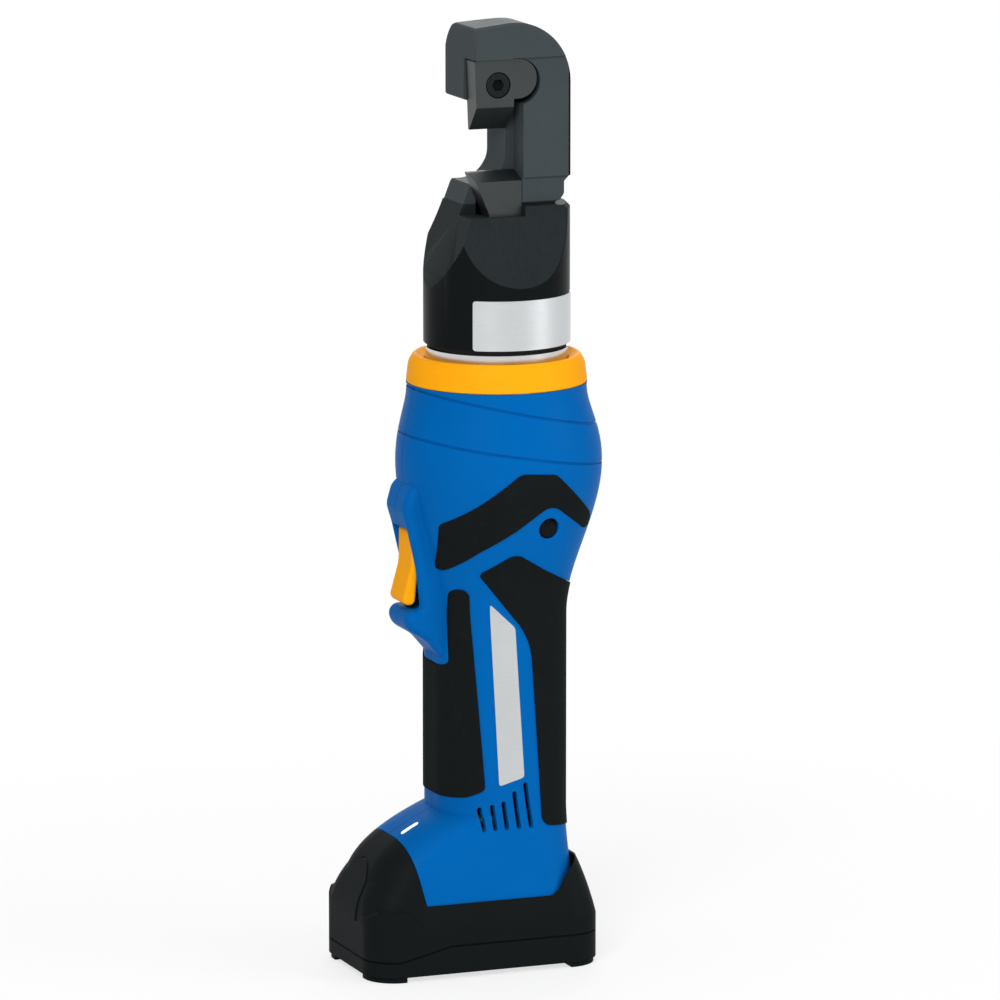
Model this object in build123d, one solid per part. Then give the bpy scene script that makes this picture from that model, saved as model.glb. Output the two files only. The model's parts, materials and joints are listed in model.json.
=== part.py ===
from build123d import *
from functools import lru_cache
import math
import os

# Hand-held electro-hydraulic cutter that stands on its battery pack.
# Millimetres, +Z up, trigger towards -X, left half of the housing towards -Y.
# Pieces are drawn about the tool axis and shifted along X at the end, so that the origin lies
# on the floor under the middle of the part.

# Clearances
RUN_GAP = 0.3
FIT_GAP = 0.05
SEAT_GAP = 0.1

# Battery pack
PACK_FRONT = 57.5
PACK_REAR = 31.0
PACK_HALF_WIDTH = 28.0
PACK_CORNER = 12.0
PACK_WALL = 2.2
PAD_HEIGHT = 2.0
PAD_LENGTH = 13.0
PAD_WIDTH = 14.0
PACK_SIDE_TOP = 18.0
PACK_REAR_TOP = 38.0
BUMPER_TOP = 25.5
SEAM_Z = 12.0
SEAM_DIP = 4.5
CELL_R = 9.15
CELL_LENGTH = 65.0
CELL_PITCH = 18.6
CELL_X0 = -44.0
RIDGE_WALL = 1.4
LATCH_HALF_WIDTH = 10.0
LATCH_Z0 = 20.0
LATCH_HEIGHT = 20.0
LATCH_THICK = 3.0

# Moulded housing
WALL = 2.4
SADDLE_Z = 25.6
FOOT_HEIGHT = 31.0
NECK_HEIGHT = 7.4
HANDLE_LENGTH = 62.0
SHOULDER_LENGTH = 55.0
TAPER_LENGTH = 28.7
HANDLE_X = -0.8
HANDLE_HALF_X = 24.0
HANDLE_HALF_Y = 22.0
BELLY_X = 0.8
BELLY_HALF_X = 36.8
BELLY_HALF_Y = 34.4
TOP_R = 32.0
FOOT_FLARE = 3.4
TOE_REACH = 29.5
TOE_FACE_BOTTOM = -36.0
TOE_FACE_TOP = -43.3
HEEL_RADIUS = 9.0
RIB_THICK = 2.5
GROOVE_DEPTH = 0.5
GROOVE_WIDTH = 0.9
BOSS_R = 3.2

# Finger guard and trigger
GUARD_HALF_WIDTH = 10.5
GUARD_EDGE = 3.2
TRIGGER_HALF_WIDTH = 7.0
TRIGGER_HEIGHT = 27.0
TRIGGER_PIN_R = 1.5

# Soft inlays
INLAY_DEPTH = 1.2
INLAY_PROUD = 0.5

# Collar, barrel and swivel
SPIGOT_R = 29.5
SPIGOT_HEIGHT = 6.8
RING_HEIGHT = 10.0
RING_EDGES = [0.2, 0.6, 5.0, 1.2, 0.6, 0.8, 0.2, 0.2]
FLANGE_R = 25.2
FLANGE_HEIGHT = 5.7
BARREL_R = 21.0
BARREL_BORE_R = 15.0
BARREL_FLOOR = 6.0
BARREL_BELOW = 20.5
BARREL_ABOVE = 26.5
SNAP_RING_HEIGHT = 2.2
SNAP_RING_DEPTH = 1.0

# Cutting head
HEAD_R = 26.0
HEAD_HEIGHT = 51.0
THROAT_FLOOR = 58.2
THROAT_HEIGHT = 30.0
HOOK_HEIGHT = 27.8
HOOK_HALF_THICK = 14.5
FLAT_HALF = 15.5
FLAT_DEPTH = 27.6
ARM_INNER = 1.7
ARM_OUTER = 22.7
NOSE_REACH = 14.0
NOSE_DROP = 1.5
CROWN_R = 21.5
CROWN_SIDE_R = 16.8
CROWN_MARGIN = 0.4
FACET_LENGTH = 38.0
FACET_INSET = 15.0
BLADE_FACE = -4.3
BLADE_THICK = 8.2
SLOT_TOP = 47.5
RAM_STROKE = 14.5

# Ram
ROD_R = 10.0
PISTON_LENGTH = 13.0
PISTON_REST = 1.0
SEAL_HEIGHT = 4.0
SEAL_DEPTH = 3.0
ROD_STEP = 29.5
ROD_TOP = 39.5
SPRING_WIRE = 2.4
SPRING_TURNS = 6

# Motor and gearbox
MOTOR_R = 17.9
MOTOR_LENGTH = 56.0
MOTOR_LIFT = 2.0
CAN_WALL = 1.5
END_CAP_HEIGHT = 3.0
SHAFT_R = 1.6
GEAR_MODULE = 0.75
SUN_TEETH = 12
PLANET_TEETH = 15
RING_TEETH = SUN_TEETH + 2 * PLANET_TEETH
PLANETS = 3
GEAR_WIDTH = 9.0
BACKLASH = 0.16
CASE_R = 18.9
CASE_FLOOR = 2.5
CARRIER_THICK = 4.0
CARRIER_JOURNAL_R = 5.0
BEARING_R = 11.0
BEARING_HEIGHT = 6.0
ECCENTRIC_OFFSET = 1.5
ECCENTRIC_R = 4.0
ECCENTRIC_BEARING_R = 7.5
ECCENTRIC_LENGTH = 9.0

# Pump
PUMP_R = 22.0
PLUNGER_R = 3.5
BLADDER_HEIGHT = 18.0
BLADDER_BULGE = 5.0
RELEASE_R = 3.6
RELEASE_TRAVEL = 2.0

# Heights up the tool, worked out from the lengths above
FOOT_TOP_Z = SADDLE_Z + FOOT_HEIGHT
HANDLE_Z0 = FOOT_TOP_Z + NECK_HEIGHT
HANDLE_Z1 = HANDLE_Z0 + HANDLE_LENGTH
BELLY_Z = HANDLE_Z1 + SHOULDER_LENGTH
TOP_Z = BELLY_Z + TAPER_LENGTH
FLANGE_Z = TOP_Z + SPIGOT_HEIGHT
HEAD_Z = FLANGE_Z + FLANGE_HEIGHT + RUN_GAP
SHOULDER_Z = HEAD_Z + HEAD_HEIGHT
FLOOR_Z = HEAD_Z + THROAT_FLOOR
ROOF_Z = FLOOR_Z + THROAT_HEIGHT
TOP_END_Z = ROOF_Z + HOOK_HEIGHT
BARREL_Z0 = FLANGE_Z - BARREL_BELOW
BARREL_Z1 = HEAD_Z + BARREL_ABOVE
SPRING_SEAT_Z = BARREL_Z1 + 1.0
MOTOR_Z0 = HANDLE_Z0 + MOTOR_LIFT
MOTOR_Z1 = MOTOR_Z0 + MOTOR_LENGTH
GEAR_Z0 = MOTOR_Z1 + CASE_FLOOR + 2.0
CARRIER_Z = GEAR_Z0 + GEAR_WIDTH + 0.5
BEARING_Z = CARRIER_Z + CARRIER_THICK + 1.5
CASE_Z1 = BEARING_Z + BEARING_HEIGHT + 1.0
TRIGGER_Z0 = HANDLE_Z1 + 5.9
TRIGGER_Z1 = TRIGGER_Z0 + TRIGGER_HEIGHT
PIVOT_X = -30.5
PIVOT_Z = TRIGGER_Z1 + 4.6
AXIS_X = (PACK_FRONT - BELLY_X - BELLY_HALF_X) / 2
HALF = 200.0

# Roundness of the housing sections
HANDLE_ROUND = 0.8
BODY_ROUND = 0.985

# Housing screws
SCREW_PLACES = [
    (BELLY_X - 29.0, TOP_Z - 12.5), (BELLY_X + 27.5, TOP_Z - 12.5),
    (BELLY_X - BELLY_HALF_X + 6.5, TRIGGER_Z0 - 8.2), (HANDLE_X + HANDLE_HALF_X - 0.6, HANDLE_Z1 + 19.5),
    (HANDLE_X - HANDLE_HALF_X + 6.0, HANDLE_Z0 - 10.5), (HANDLE_X + HANDLE_HALF_X - 6.0, HANDLE_Z0 - 10.5)]
SCREW_HALF = 8.0
SCREW_R = 1.5
SCREW_HEAD_R = 2.8
SCREW_HEAD_HEIGHT = 2.0

# Vents
VENT_WIDTH = 1.7
VENT_PITCH = 4.35
VENT_X = -14.0
VENT_LEAN = 8.0
VENT_LENGTHS = (8.8, 9.7, 10.6, 14.0, 17.0)
VENT_Z = HANDLE_Z0 - 13.0

# Release button
RELEASE_X = 8.0
RELEASE_Z = BELLY_Z - 20.2
RELEASE_FACE = -29.3
RELEASE_STEM_R = 2.0
RELEASE_TIP = -PUMP_R + 8.0
GUIDE_WALL = 1.4
GUIDE_THICK = 2.6
GUIDE_Y = -PUMP_R - GUIDE_THICK - 0.8

# Control board, its parts and the status light
BOARD_Z = SADDLE_Z + 21.0
BOARD_THICK = 1.6
BOARD_X0 = -34.0
CAPACITOR_R = 4.0
CAPACITOR_HEIGHT = 2.8
CAPACITOR_X = -27.0
CAPACITOR_Y = 8.0
DRIVER_HEIGHT = 4.0
LIGHT_X = -36.0
LIGHT_Y = -7.0
LIGHT_LENGTH = 6.5
LIGHT_WIDTH = 2.0

# Cells and the ridge over the upper one
CELL_LOW_Z = PAD_HEIGHT + PACK_WALL + CELL_R + SEAT_GAP
CELL_TOP_Z = CELL_LOW_Z + math.sqrt(CELL_PITCH ** 2 - (CELL_PITCH / 2) ** 2)
CELL_X1 = CELL_X0 + CELL_LENGTH
RIDGE_X0 = CELL_X0 - SEAT_GAP - RIDGE_WALL
RIDGE_X1 = CELL_X1 + SEAT_GAP + RIDGE_WALL
RIDGE_TOP_Z = CELL_TOP_Z + CELL_R + RIDGE_WALL

# Oil ports and the groove of the swivel
PORT_R = 1.5
PORT_X = 11.0
SNAP_Z = BARREL_Z1 - 8.0

# Blades and their screws
ROD_STEP_Z = HEAD_Z + ROD_STEP
ROD_TOP_Z = HEAD_Z + ROD_TOP
BLADE_TOP_Z = FLOOR_Z + 4.8
SLOT_TOP_Z = HEAD_Z + SLOT_TOP
BLADE_NEAR = BLADE_FACE - BLADE_THICK
SHANK_X0 = -7.6
BLADE_X1 = ARM_INNER + 2.9
FIXED_EDGE_Z = BLADE_TOP_Z + RAM_STROKE + RUN_GAP
FIXED_TOP_Z = FIXED_EDGE_Z + 25.3
FIXED_END_X = 3.0
FIXED_END_R = 7.0
BLADE_SCREW_X = -4.5
BLADE_SCREW_Z = FIXED_TOP_Z - 9.0
BLADE_SCREW_R = 2.5
BLADE_SCREW_HEAD_R = 4.25
BLADE_SCREW_HEAD = 5.0
SHANK_SCREW_X = -1.5
SHANK_SCREW_Z = ROD_STEP_Z + 5.0
SHANK_SCREW_R = 2.0
SHANK_SCREW_HEAD_R = 3.5
SHANK_SCREW_HEAD = 3.6

# Piston and seal
PISTON_Z0 = BARREL_Z0 + BARREL_FLOOR + PISTON_REST
PISTON_Z1 = PISTON_Z0 + PISTON_LENGTH
PISTON_R = BARREL_BORE_R - FIT_GAP
SEAL_Z = PISTON_Z0 + 4.5

# Gears
TOOTH_TIP = 0.85 * GEAR_MODULE
TOOTH_ROOT = 1.1 * GEAR_MODULE
PLANET_ORBIT = (SUN_TEETH + PLANET_TEETH) * GEAR_MODULE / 2
PLANET_PIN_R = 1.5
GEAR_Z1 = GEAR_Z0 + GEAR_WIDTH
CARRIER_R = PLANET_ORBIT + PLANET_PIN_R + 1.5
MOTOR_BOSS_R = 6.5

# Eccentric
ECCENTRIC_Z0 = CASE_Z1 + 1.5
ECCENTRIC_Z1 = ECCENTRIC_Z0 + ECCENTRIC_LENGTH
PLUNGER_Z = (ECCENTRIC_Z0 + ECCENTRIC_Z1) / 2

# Inside of the motor
MAGNET_INNER_R = 13.6
CORE_R = MAGNET_INNER_R - 0.5
POLES = 5
TAG_X = 11.0
TAG_LENGTH = 5.0

# Inside of the pump
PUMP_Z0 = CASE_Z1
CHAMBER_R = ECCENTRIC_BEARING_R + ECCENTRIC_OFFSET + 1.0
PLUNGER_X0 = ECCENTRIC_BEARING_R + ECCENTRIC_OFFSET + 0.1
PLUNGER_LENGTH = 6.5
PLUG_LENGTH = 3.0
VALVE_R = 3.5
VALVE_LENGTH = 14.0

# Trigger and switch
TRIGGER_EDGE = 1.2
PIN_HALF = GUARD_HALF_WIDTH - 0.9
BOSS_HALF = 4.0
SWITCH_X0 = -28.4
SWITCH_X1 = -CASE_R - 0.6

# Terminals and screws of the pack
TERMINAL_Y = (-5, 0, 5)
PACK_BOSS_R = 2.8
PACK_SCREW_R = 1.3
PACK_SCREW_HEAD_R = 2.4
PACK_SCREW_TOP = SEAM_Z + 8
PACK_SCREWS = [(-50.0, -20.0), (-50.0, 20.0), (25.0, -20.5), (25.0, 20.5)]


def outline(points, radius):
    """Closed outline in the XZ plane with its corners rounded."""
    radii = radius if isinstance(radius, list) else [radius] * len(points)
    line = FilletPolyline(*points, radius=radii, close=True)
    return make_face(Plane.XZ * line)


def slab(face, y0, y1):
    """An XZ outline given thickness from y0 to y1."""
    return Pos(0, y1, 0) * extrude(face, y1 - y0, dir=(0, -1, 0))


def disc(radius, z0, z1, x=0.0, y=0.0):
    """A round bar along Z."""
    return Pos(x, y, (z0 + z1) / 2) * Cylinder(radius, z1 - z0)


def bar_y(radius, x, z, y0, y1):
    """A round bar along Y."""
    return Pos(x, (y0 + y1) / 2, z) * Rot(90, 0, 0) * Cylinder(radius, y1 - y0)


def bar_x(radius, y, z, x0, x1):
    """A round bar along X."""
    return Pos((x0 + x1) / 2, y, z) * Rot(0, 90, 0) * Cylinder(radius, x1 - x0)


def block(x0, x1, y0, y1, z0, z1):
    """A box between two corners."""
    centre = Pos((x0 + x1) / 2, (y0 + y1) / 2, (z0 + z1) / 2)
    return centre * Box(x1 - x0, y1 - y0, z1 - z0)


def turned(points, radius=0.0):
    """A solid of revolution about Z from an outline of radius and height."""
    line = FilletPolyline(*points, radius=radius, close=True) if radius else Polyline(*points, close=True)
    return revolve(make_face(Plane.XZ * line), Axis.Z)


def coil(radius, wire, z0, z1, turns):
    """A helical spring with ends ground flat at z0 and z1."""
    pitch = (z1 - z0) / turns
    path = Pos(0, 0, z0) * Helix(pitch, z1 - z0, radius)
    tube = sweep(Plane(path @ 0, z_dir=path % 0) * Circle(wire / 2), path=path)
    return tube & disc(radius + wire, z0 + wire / 4, z1 - wire / 4)


def section(z, x0, x1, half_y, corner):
    """A rounded rectangular section across the body at height z."""
    plan = RectangleRounded(x1 - x0, 2 * half_y, corner)
    return Plane.XY.offset(z) * Pos((x0 + x1) / 2, 0) * plan


# Housing form

def ease(t):
    return 3 * t ** 2 - 2 * t ** 3


def blend(a, b, t):
    return a + (b - a) * t


def body_section(z, x, half_x, half_y, roundness, inset):
    corner = roundness * min(half_x, half_y) - inset
    return section(z, x - half_x + inset, x + half_x - inset, half_y - inset, corner)


@lru_cache
def barrel_form(inset):
    """The barrel swells from the handle to the belly and tapers to the collar."""
    sections = []
    for t in (0.0, 0.2, 0.4, 0.6, 0.8, 1.0):
        k = ease(t)
        sections.append(body_section(
            blend(HANDLE_Z1, BELLY_Z, t), blend(HANDLE_X, BELLY_X, k),
            blend(HANDLE_HALF_X, BELLY_HALF_X, k), blend(HANDLE_HALF_Y, BELLY_HALF_Y, k),
            blend(HANDLE_ROUND, BODY_ROUND, k), inset))
    for t in (0.5, 1.0):
        k = t ** 1.2
        sections.append(body_section(
            blend(BELLY_Z, TOP_Z, t), blend(BELLY_X, 0, k), blend(BELLY_HALF_X, TOP_R, k),
            blend(BELLY_HALF_Y, TOP_R, k), BODY_ROUND, inset))
    return loft(sections)


@lru_cache
def handle_form(inset):
    base = body_section(FOOT_TOP_Z, HANDLE_X, HANDLE_HALF_X, HANDLE_HALF_Y, HANDLE_ROUND, inset)
    return extrude(base, NECK_HEIGHT + HANDLE_LENGTH)


@lru_cache
def shoe_form(inset):
    """The foot flares downwards and reaches forward into a toe."""
    front = HANDLE_X - HANDLE_HALF_X
    rear = HANDLE_X + HANDLE_HALF_X
    sections = []
    for u in (0.0, 0.2, 0.4, 0.55, 0.7, 0.82, 0.92, 1.0):
        reach = TOE_REACH * (1 - u ** 2.6)
        flare = FOOT_FLARE * (1 - u) ** 1.5
        half_y = HANDLE_HALF_Y + flare
        corner = HANDLE_ROUND * HANDLE_HALF_Y - flare - inset
        sections.append(section(
            SADDLE_Z + u * FOOT_HEIGHT, front - reach + inset, rear + flare / 3 - inset,
            half_y - inset, corner))
    return loft(sections)


def foot_outline(inset, drop):
    """Side outline of the foot: leaning toe face, flat saddle and rounded heel."""
    rear = HANDLE_X + HANDLE_HALF_X + 3 - inset
    lean = (TOE_FACE_TOP - TOE_FACE_BOTTOM) / FOOT_HEIGHT
    bottom = SADDLE_Z + drop
    points = [
        (TOE_FACE_BOTTOM + inset + lean * drop, bottom), (rear, bottom), (rear, FOOT_TOP_Z + 8),
        (TOE_FACE_TOP + inset + lean * 8, FOOT_TOP_Z + 8)]
    return outline(points, [0.2, HEEL_RADIUS, 0.2, 0.2])


def foot_form():
    return shoe_form(0) & slab(foot_outline(0, 0), -HALF, HALF)


def guard_points():
    """Side outline of the finger guard, from its upper bump to the nose under the trigger."""
    front = BELLY_X - BELLY_HALF_X
    return [
        (front + 16, TRIGGER_Z1 + 18), (front - 0.3, TRIGGER_Z1 + 17), (front - 3.0, TRIGGER_Z1 + 7.5),
        (front - 1.0, TRIGGER_Z1 + 1.0), (front + 2.2, TRIGGER_Z1 - 13.0),
        (front + 4.0, TRIGGER_Z0 - 1.5), (front - 2.9, TRIGGER_Z0 - 1.5),
        (front - 1.4, TRIGGER_Z0 - 8.5), (front + 6.0, TRIGGER_Z0 - 13.0),
        (front + 12.0, TRIGGER_Z0 - 20.0), (front + 26.0, TRIGGER_Z0 - 20.0)]


def guard_face():
    return outline(guard_points(), [4.5, 6.0, 6.0, 10.0, 20.0, 2.0, 3.6, 6.0, 10.0, 5.0, 4.5])


def guard_form():
    solid = slab(guard_face(), -GUARD_HALF_WIDTH, GUARD_HALF_WIDTH)
    sides = solid.faces().sort_by(Axis.Y)
    return fillet(sides[0].edges() + sides[-1].edges(), GUARD_EDGE)


def guard_cavity():
    """Room in the guard for the lever, above the solid nose."""
    face = offset(guard_face(), -WALL)
    room = slab(face, WALL - GUARD_HALF_WIDTH, GUARD_HALF_WIDTH - WALL)
    return room & block(-HALF, HALF, -HALF, HALF, TRIGGER_Z0 - WALL, HALF)


@lru_cache
def inlay_shell(proud, depth):
    """The skin of the body between two offsets, where the soft inlays lie."""
    outer = barrel_form(-proud) + handle_form(-proud) + shoe_form(-proud)
    return outer - barrel_form(depth) - handle_form(depth) - shoe_form(depth)


# Soft inlays, as side outlines

def chevron_face():
    points = [
        (-27.2, BELLY_Z - 37.0), (-28.6, BELLY_Z - 18.5), (-19.0, BELLY_Z - 11.5),
        (-4.0, BELLY_Z + 0.5), (9.5, BELLY_Z - 0.5), (27.0, BELLY_Z - 17.0),
        (29.5, BELLY_Z - 26.0), (8.0, BELLY_Z - 11.0), (-4.0, BELLY_Z - 20.0),
        (-16.5, BELLY_Z - 28.0)]
    return outline(points, [1.2, 2.5, 12.0, 5.0, 5.0, 5.0, 2.5, 6.0, 12.0, 12.0])


def front_grip_face():
    front = HANDLE_X - HANDLE_HALF_X - 6
    points = [
        (-23.6, HANDLE_Z1 + 12.0), (-18.4, HANDLE_Z1 + 13.0), (-12.7, HANDLE_Z0 + 2.0),
        (-19.0, HANDLE_Z0 - 0.8), (front, HANDLE_Z0 - 2.0), (front, HANDLE_Z1 - 16.5),
        (-22.9, HANDLE_Z1 - 16.5)]
    return outline(points, [2.2, 2.8, 2.5, 6.0, 0.5, 0.5, 3.0])


def rear_grip_face():
    rear = HANDLE_X + HANDLE_HALF_X + 14
    points = [
        (-16.0, HANDLE_Z1 + 18.5), (-3.5, HANDLE_Z1 + 26.0), (9.0, HANDLE_Z1 + 18.5),
        (rear, HANDLE_Z1 + 4.0), (rear, HANDLE_Z0 - 17.0), (9.0, HANDLE_Z0 - 12.0),
        (4.4, HANDLE_Z1 - 6.0)]
    return outline(points, [1.5, 6.0, 10.0, 0.5, 0.5, 4.0, 25.0])


INLAYS = {"chevron_grip": chevron_face, "front_grip": front_grip_face, "rear_grip": rear_grip_face}


def vents():
    """Five leaning slots, longer towards the rear."""
    slots = []
    for i, length in enumerate(VENT_LENGTHS):
        face = Plane.XZ * Rot(0, 0, VENT_LEAN) * SlotOverall(length, VENT_WIDTH, rotation=90)
        place = Pos(VENT_X + i * VENT_PITCH, HALF, VENT_Z + length / 2)
        slots.append(place * extrude(face, 2 * HALF))
    return slots


def grooves():
    """Two leaning style lines round the barrel."""
    skin = barrel_form(-1) - barrel_form(GROOVE_DEPTH)
    lines = []
    for z, lean in ((TOP_Z - 8.0, 12.4), (BELLY_Z + 5.5, 9.6)):
        band = Pos(0, 0, z) * Rot(0, lean, 0) * Box(4 * BELLY_HALF_X, 4 * BELLY_HALF_X, GROOVE_WIDTH)
        lines.append(skin & band)
    return lines


def status_slot(gap, z1):
    plan = Plane.XY.offset(BOARD_Z + BOARD_THICK) * Pos(LIGHT_X, LIGHT_Y)
    return extrude(plan * SlotOverall(LIGHT_LENGTH + 2 * gap, LIGHT_WIDTH + 2 * gap), z1)


def cavity():
    inside = barrel_form(WALL) + handle_form(WALL)
    inside += shoe_form(WALL) & slab(foot_outline(WALL, -10), -HALF, HALF)
    inside += extrude(section(
        SADDLE_Z, TOE_FACE_BOTTOM + WALL, HANDLE_X + HANDLE_HALF_X - HEEL_RADIUS,
        HANDLE_HALF_Y + FOOT_FLARE - WALL, 10.0), -5)
    return inside + guard_cavity()


def ridge(grow, z0, x0, x1):
    """Tunnel-shaped ridge over the upper cell of the pack."""
    radius = CELL_R + RIDGE_WALL + grow
    tunnel = bar_x(radius, 0, CELL_TOP_Z, x0, x1) + block(x0, x1, -radius, radius, z0, CELL_TOP_Z)
    return tunnel & block(x0, x1, -radius, radius, z0, HALF)


def ribs(inside):
    """Ring ribs in which the motor, the gear case and the pump sit, and the ledge of the board."""
    rings = [
        (MOTOR_Z0 + 6, MOTOR_R), (MOTOR_Z1 - 12, MOTOR_R), (MOTOR_Z1 + 8, CASE_R),
        (CASE_Z1 + 3, PUMP_R), (BARREL_Z0 - 8, PUMP_R)]
    out = []
    for z, radius in rings:
        plate = block(-HALF, HALF, -HALF, HALF, z, z + RIB_THICK)
        out.append((plate & inside) - disc(radius + SEAT_GAP, z - 1, z + RIB_THICK + 1))
    ledge = block(-HALF, HALF, -HALF, HALF, BOARD_Z - RIB_THICK, BOARD_Z) & inside
    window = block(-30, 14, -13, 13, BOARD_Z - RIB_THICK - 1, BOARD_Z + 1)
    out.append(ledge - window)
    return out


def housing():
    inside = cavity()
    solid = barrel_form(0) + handle_form(0) + foot_form() + guard_form()
    solid -= inside
    for rib in ribs(inside):
        solid += rib
    form = barrel_form(1) + handle_form(1) + shoe_form(1) + guard_form()
    for x, z in SCREW_PLACES:
        solid += bar_y(BOSS_R, x, z, -HALF, HALF) & form
    solid += disc(TOP_R - 0.5, TOP_Z - WALL, TOP_Z) + disc(SPIGOT_R, TOP_Z - WALL, FLANGE_Z)
    solid -= disc(BARREL_R + SEAT_GAP, TOP_Z - WALL - 1, FLANGE_Z + 1)
    for x, z in SCREW_PLACES:
        solid -= bar_y(SCREW_R + FIT_GAP, x, z, -SCREW_HALF - 1, SCREW_HALF)
        solid -= bar_y(SCREW_HEAD_R + SEAT_GAP, x, z, SCREW_HALF, HALF)
    solid -= trigger_window()
    solid -= bar_y(TRIGGER_PIN_R + FIT_GAP, PIVOT_X, PIVOT_Z, -PIN_HALF, PIN_HALF)
    guide_r = RELEASE_R + RUN_GAP + GUIDE_WALL
    solid += bar_y(guide_r, RELEASE_X, RELEASE_Z, -HALF, GUIDE_Y + GUIDE_THICK) & form
    solid -= bar_y(RELEASE_R + RUN_GAP, RELEASE_X, RELEASE_Z, -HALF, GUIDE_Y)
    solid -= bar_y(RELEASE_STEM_R + RUN_GAP, RELEASE_X, RELEASE_Z, -HALF, -PUMP_R)
    for slot in vents():
        solid -= slot
    for groove in grooves():
        solid -= groove
    solid -= status_slot(SEAT_GAP, 20)
    solid -= ridge(2 * RUN_GAP, 0, -HALF, RIDGE_X1 + 2 * RUN_GAP)
    skin = inlay_shell(4, INLAY_DEPTH)
    for face in INLAYS.values():
        solid -= slab(offset(face(), SEAT_GAP), -HALF, HALF) & skin
    return solid


def trigger_window():
    half = TRIGGER_HALF_WIDTH + RUN_GAP
    front = BELLY_X - BELLY_HALF_X
    lower = block(front - 20, -CASE_R, -half, half, TRIGGER_Z0 - 1.5, TRIGGER_Z1 + 0.6)
    upper = block(PIVOT_X - 4.4, -PUMP_R - 2, -half, half, TRIGGER_Z1, PIVOT_Z + 4)
    return lower + upper


def half(solid, side):
    return solid & block(-HALF, HALF, *sorted((0, side * HALF)), -1, 2 * HALF)


def inlay(face, side):
    skin = inlay_shell(INLAY_PROUD, INLAY_DEPTH - FIT_GAP) - trigger_window()
    return slab(face(), *sorted((0, side * HALF))) & skin


def housing_screws():
    screws = []
    for x, z in SCREW_PLACES:
        shank = bar_y(SCREW_R, x, z, -SCREW_HALF, SCREW_HALF)
        head = bar_y(SCREW_HEAD_R, x, z, SCREW_HALF, SCREW_HALF + SCREW_HEAD_HEIGHT)
        slot = bar_y(0.9, x, z, SCREW_HALF + 0.8, SCREW_HALF + SCREW_HEAD_HEIGHT + 1)
        screws.append(shank + head - slot)
    return Compound(screws)


def collar_ring():
    rim = TOP_Z + RING_HEIGHT
    seat = FLANGE_Z + SEAT_GAP
    return turned([
        (SPIGOT_R + SEAT_GAP, TOP_Z), (TOP_R + 0.2, TOP_Z), (TOP_R - 0.6, rim - 3.0), (TOP_R - 2.5, rim),
        (TOP_R - 3.5, rim), (FLANGE_R + RUN_GAP, rim - 1.6), (FLANGE_R + RUN_GAP, seat),
        (SPIGOT_R + SEAT_GAP, seat)], RING_EDGES)


def cylinder_barrel():
    solid = disc(BARREL_R, BARREL_Z0, BARREL_Z1) + disc(FLANGE_R, FLANGE_Z, FLANGE_Z + FLANGE_HEIGHT)
    solid -= disc(BARREL_BORE_R, BARREL_Z0 + BARREL_FLOOR, BARREL_Z1 + 1)
    solid -= snap_groove(BARREL_R - SNAP_RING_DEPTH - FIT_GAP, BARREL_R + 1, SNAP_Z, FIT_GAP)
    return solid - disc(PORT_R, BARREL_Z0 - 1, BARREL_Z0 + BARREL_FLOOR + 1, PORT_X)


def snap_groove(inner, outer, z, gap):
    height = SNAP_RING_HEIGHT + 2 * gap
    return disc(outer, z - gap, z - gap + height) - disc(inner, z - gap, z - gap + height)


def head_retaining_ring():
    """Split wire ring that holds the head on the barrel."""
    ring = snap_groove(BARREL_R - SNAP_RING_DEPTH, BARREL_R + SNAP_RING_DEPTH, SNAP_Z, 0)
    return ring - block(0, HALF, -1.5, 1.5, SNAP_Z - 1, SNAP_Z + SNAP_RING_HEIGHT + 1)


# Cutting head

def hook_face():
    foot_x = ARM_OUTER - 2
    root_x = ARM_OUTER - 4.7
    points = [
        (-NOSE_REACH, ROOF_Z), (-NOSE_REACH, TOP_END_Z - NOSE_DROP), (0, TOP_END_Z), (ARM_OUTER, TOP_END_Z),
        (ARM_OUTER, SHOULDER_Z + 10.0), (foot_x, SHOULDER_Z + 8.0), (foot_x, SHOULDER_Z + 3.5),
        (root_x, SHOULDER_Z), (root_x, SHOULDER_Z - 15), (-HEAD_R, SHOULDER_Z - 15),
        (-HEAD_R, FLOOR_Z), (ARM_INNER, FLOOR_Z), (ARM_INNER, ROOF_Z)]
    radii = [1.2, 1.5, 12.0, CROWN_R, 1.2, 1.2, 2.0, 1.2, 1.2, 1.2, 1.2, 10.5, 4.0]
    return outline(points, radii)


def crown():
    """End view of the hook, whose top rounds off towards the far side."""
    top = TOP_END_Z + CROWN_MARGIN
    far = HOOK_HALF_THICK + CROWN_MARGIN
    line = FilletPolyline(
        (-HEAD_R, 0), (-HEAD_R, top), (far, top), (far, 0), radius=[0.2, 0.2, CROWN_SIDE_R, 0.2], close=True)
    return Pos(-HALF, 0, 0) * extrude(make_face(Plane.YZ * line), 2 * HALF, dir=(1, 0, 0))


def run_out():
    """Concave run-out on one side of the head, steepest at the shoulder."""
    run = HEAD_R - FLAT_HALF
    radius = (run ** 2 + FLAT_DEPTH ** 2) / (2 * run)
    return bar_x(radius, FLAT_HALF + radius, SHOULDER_Z, -HALF, HALF)


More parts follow.
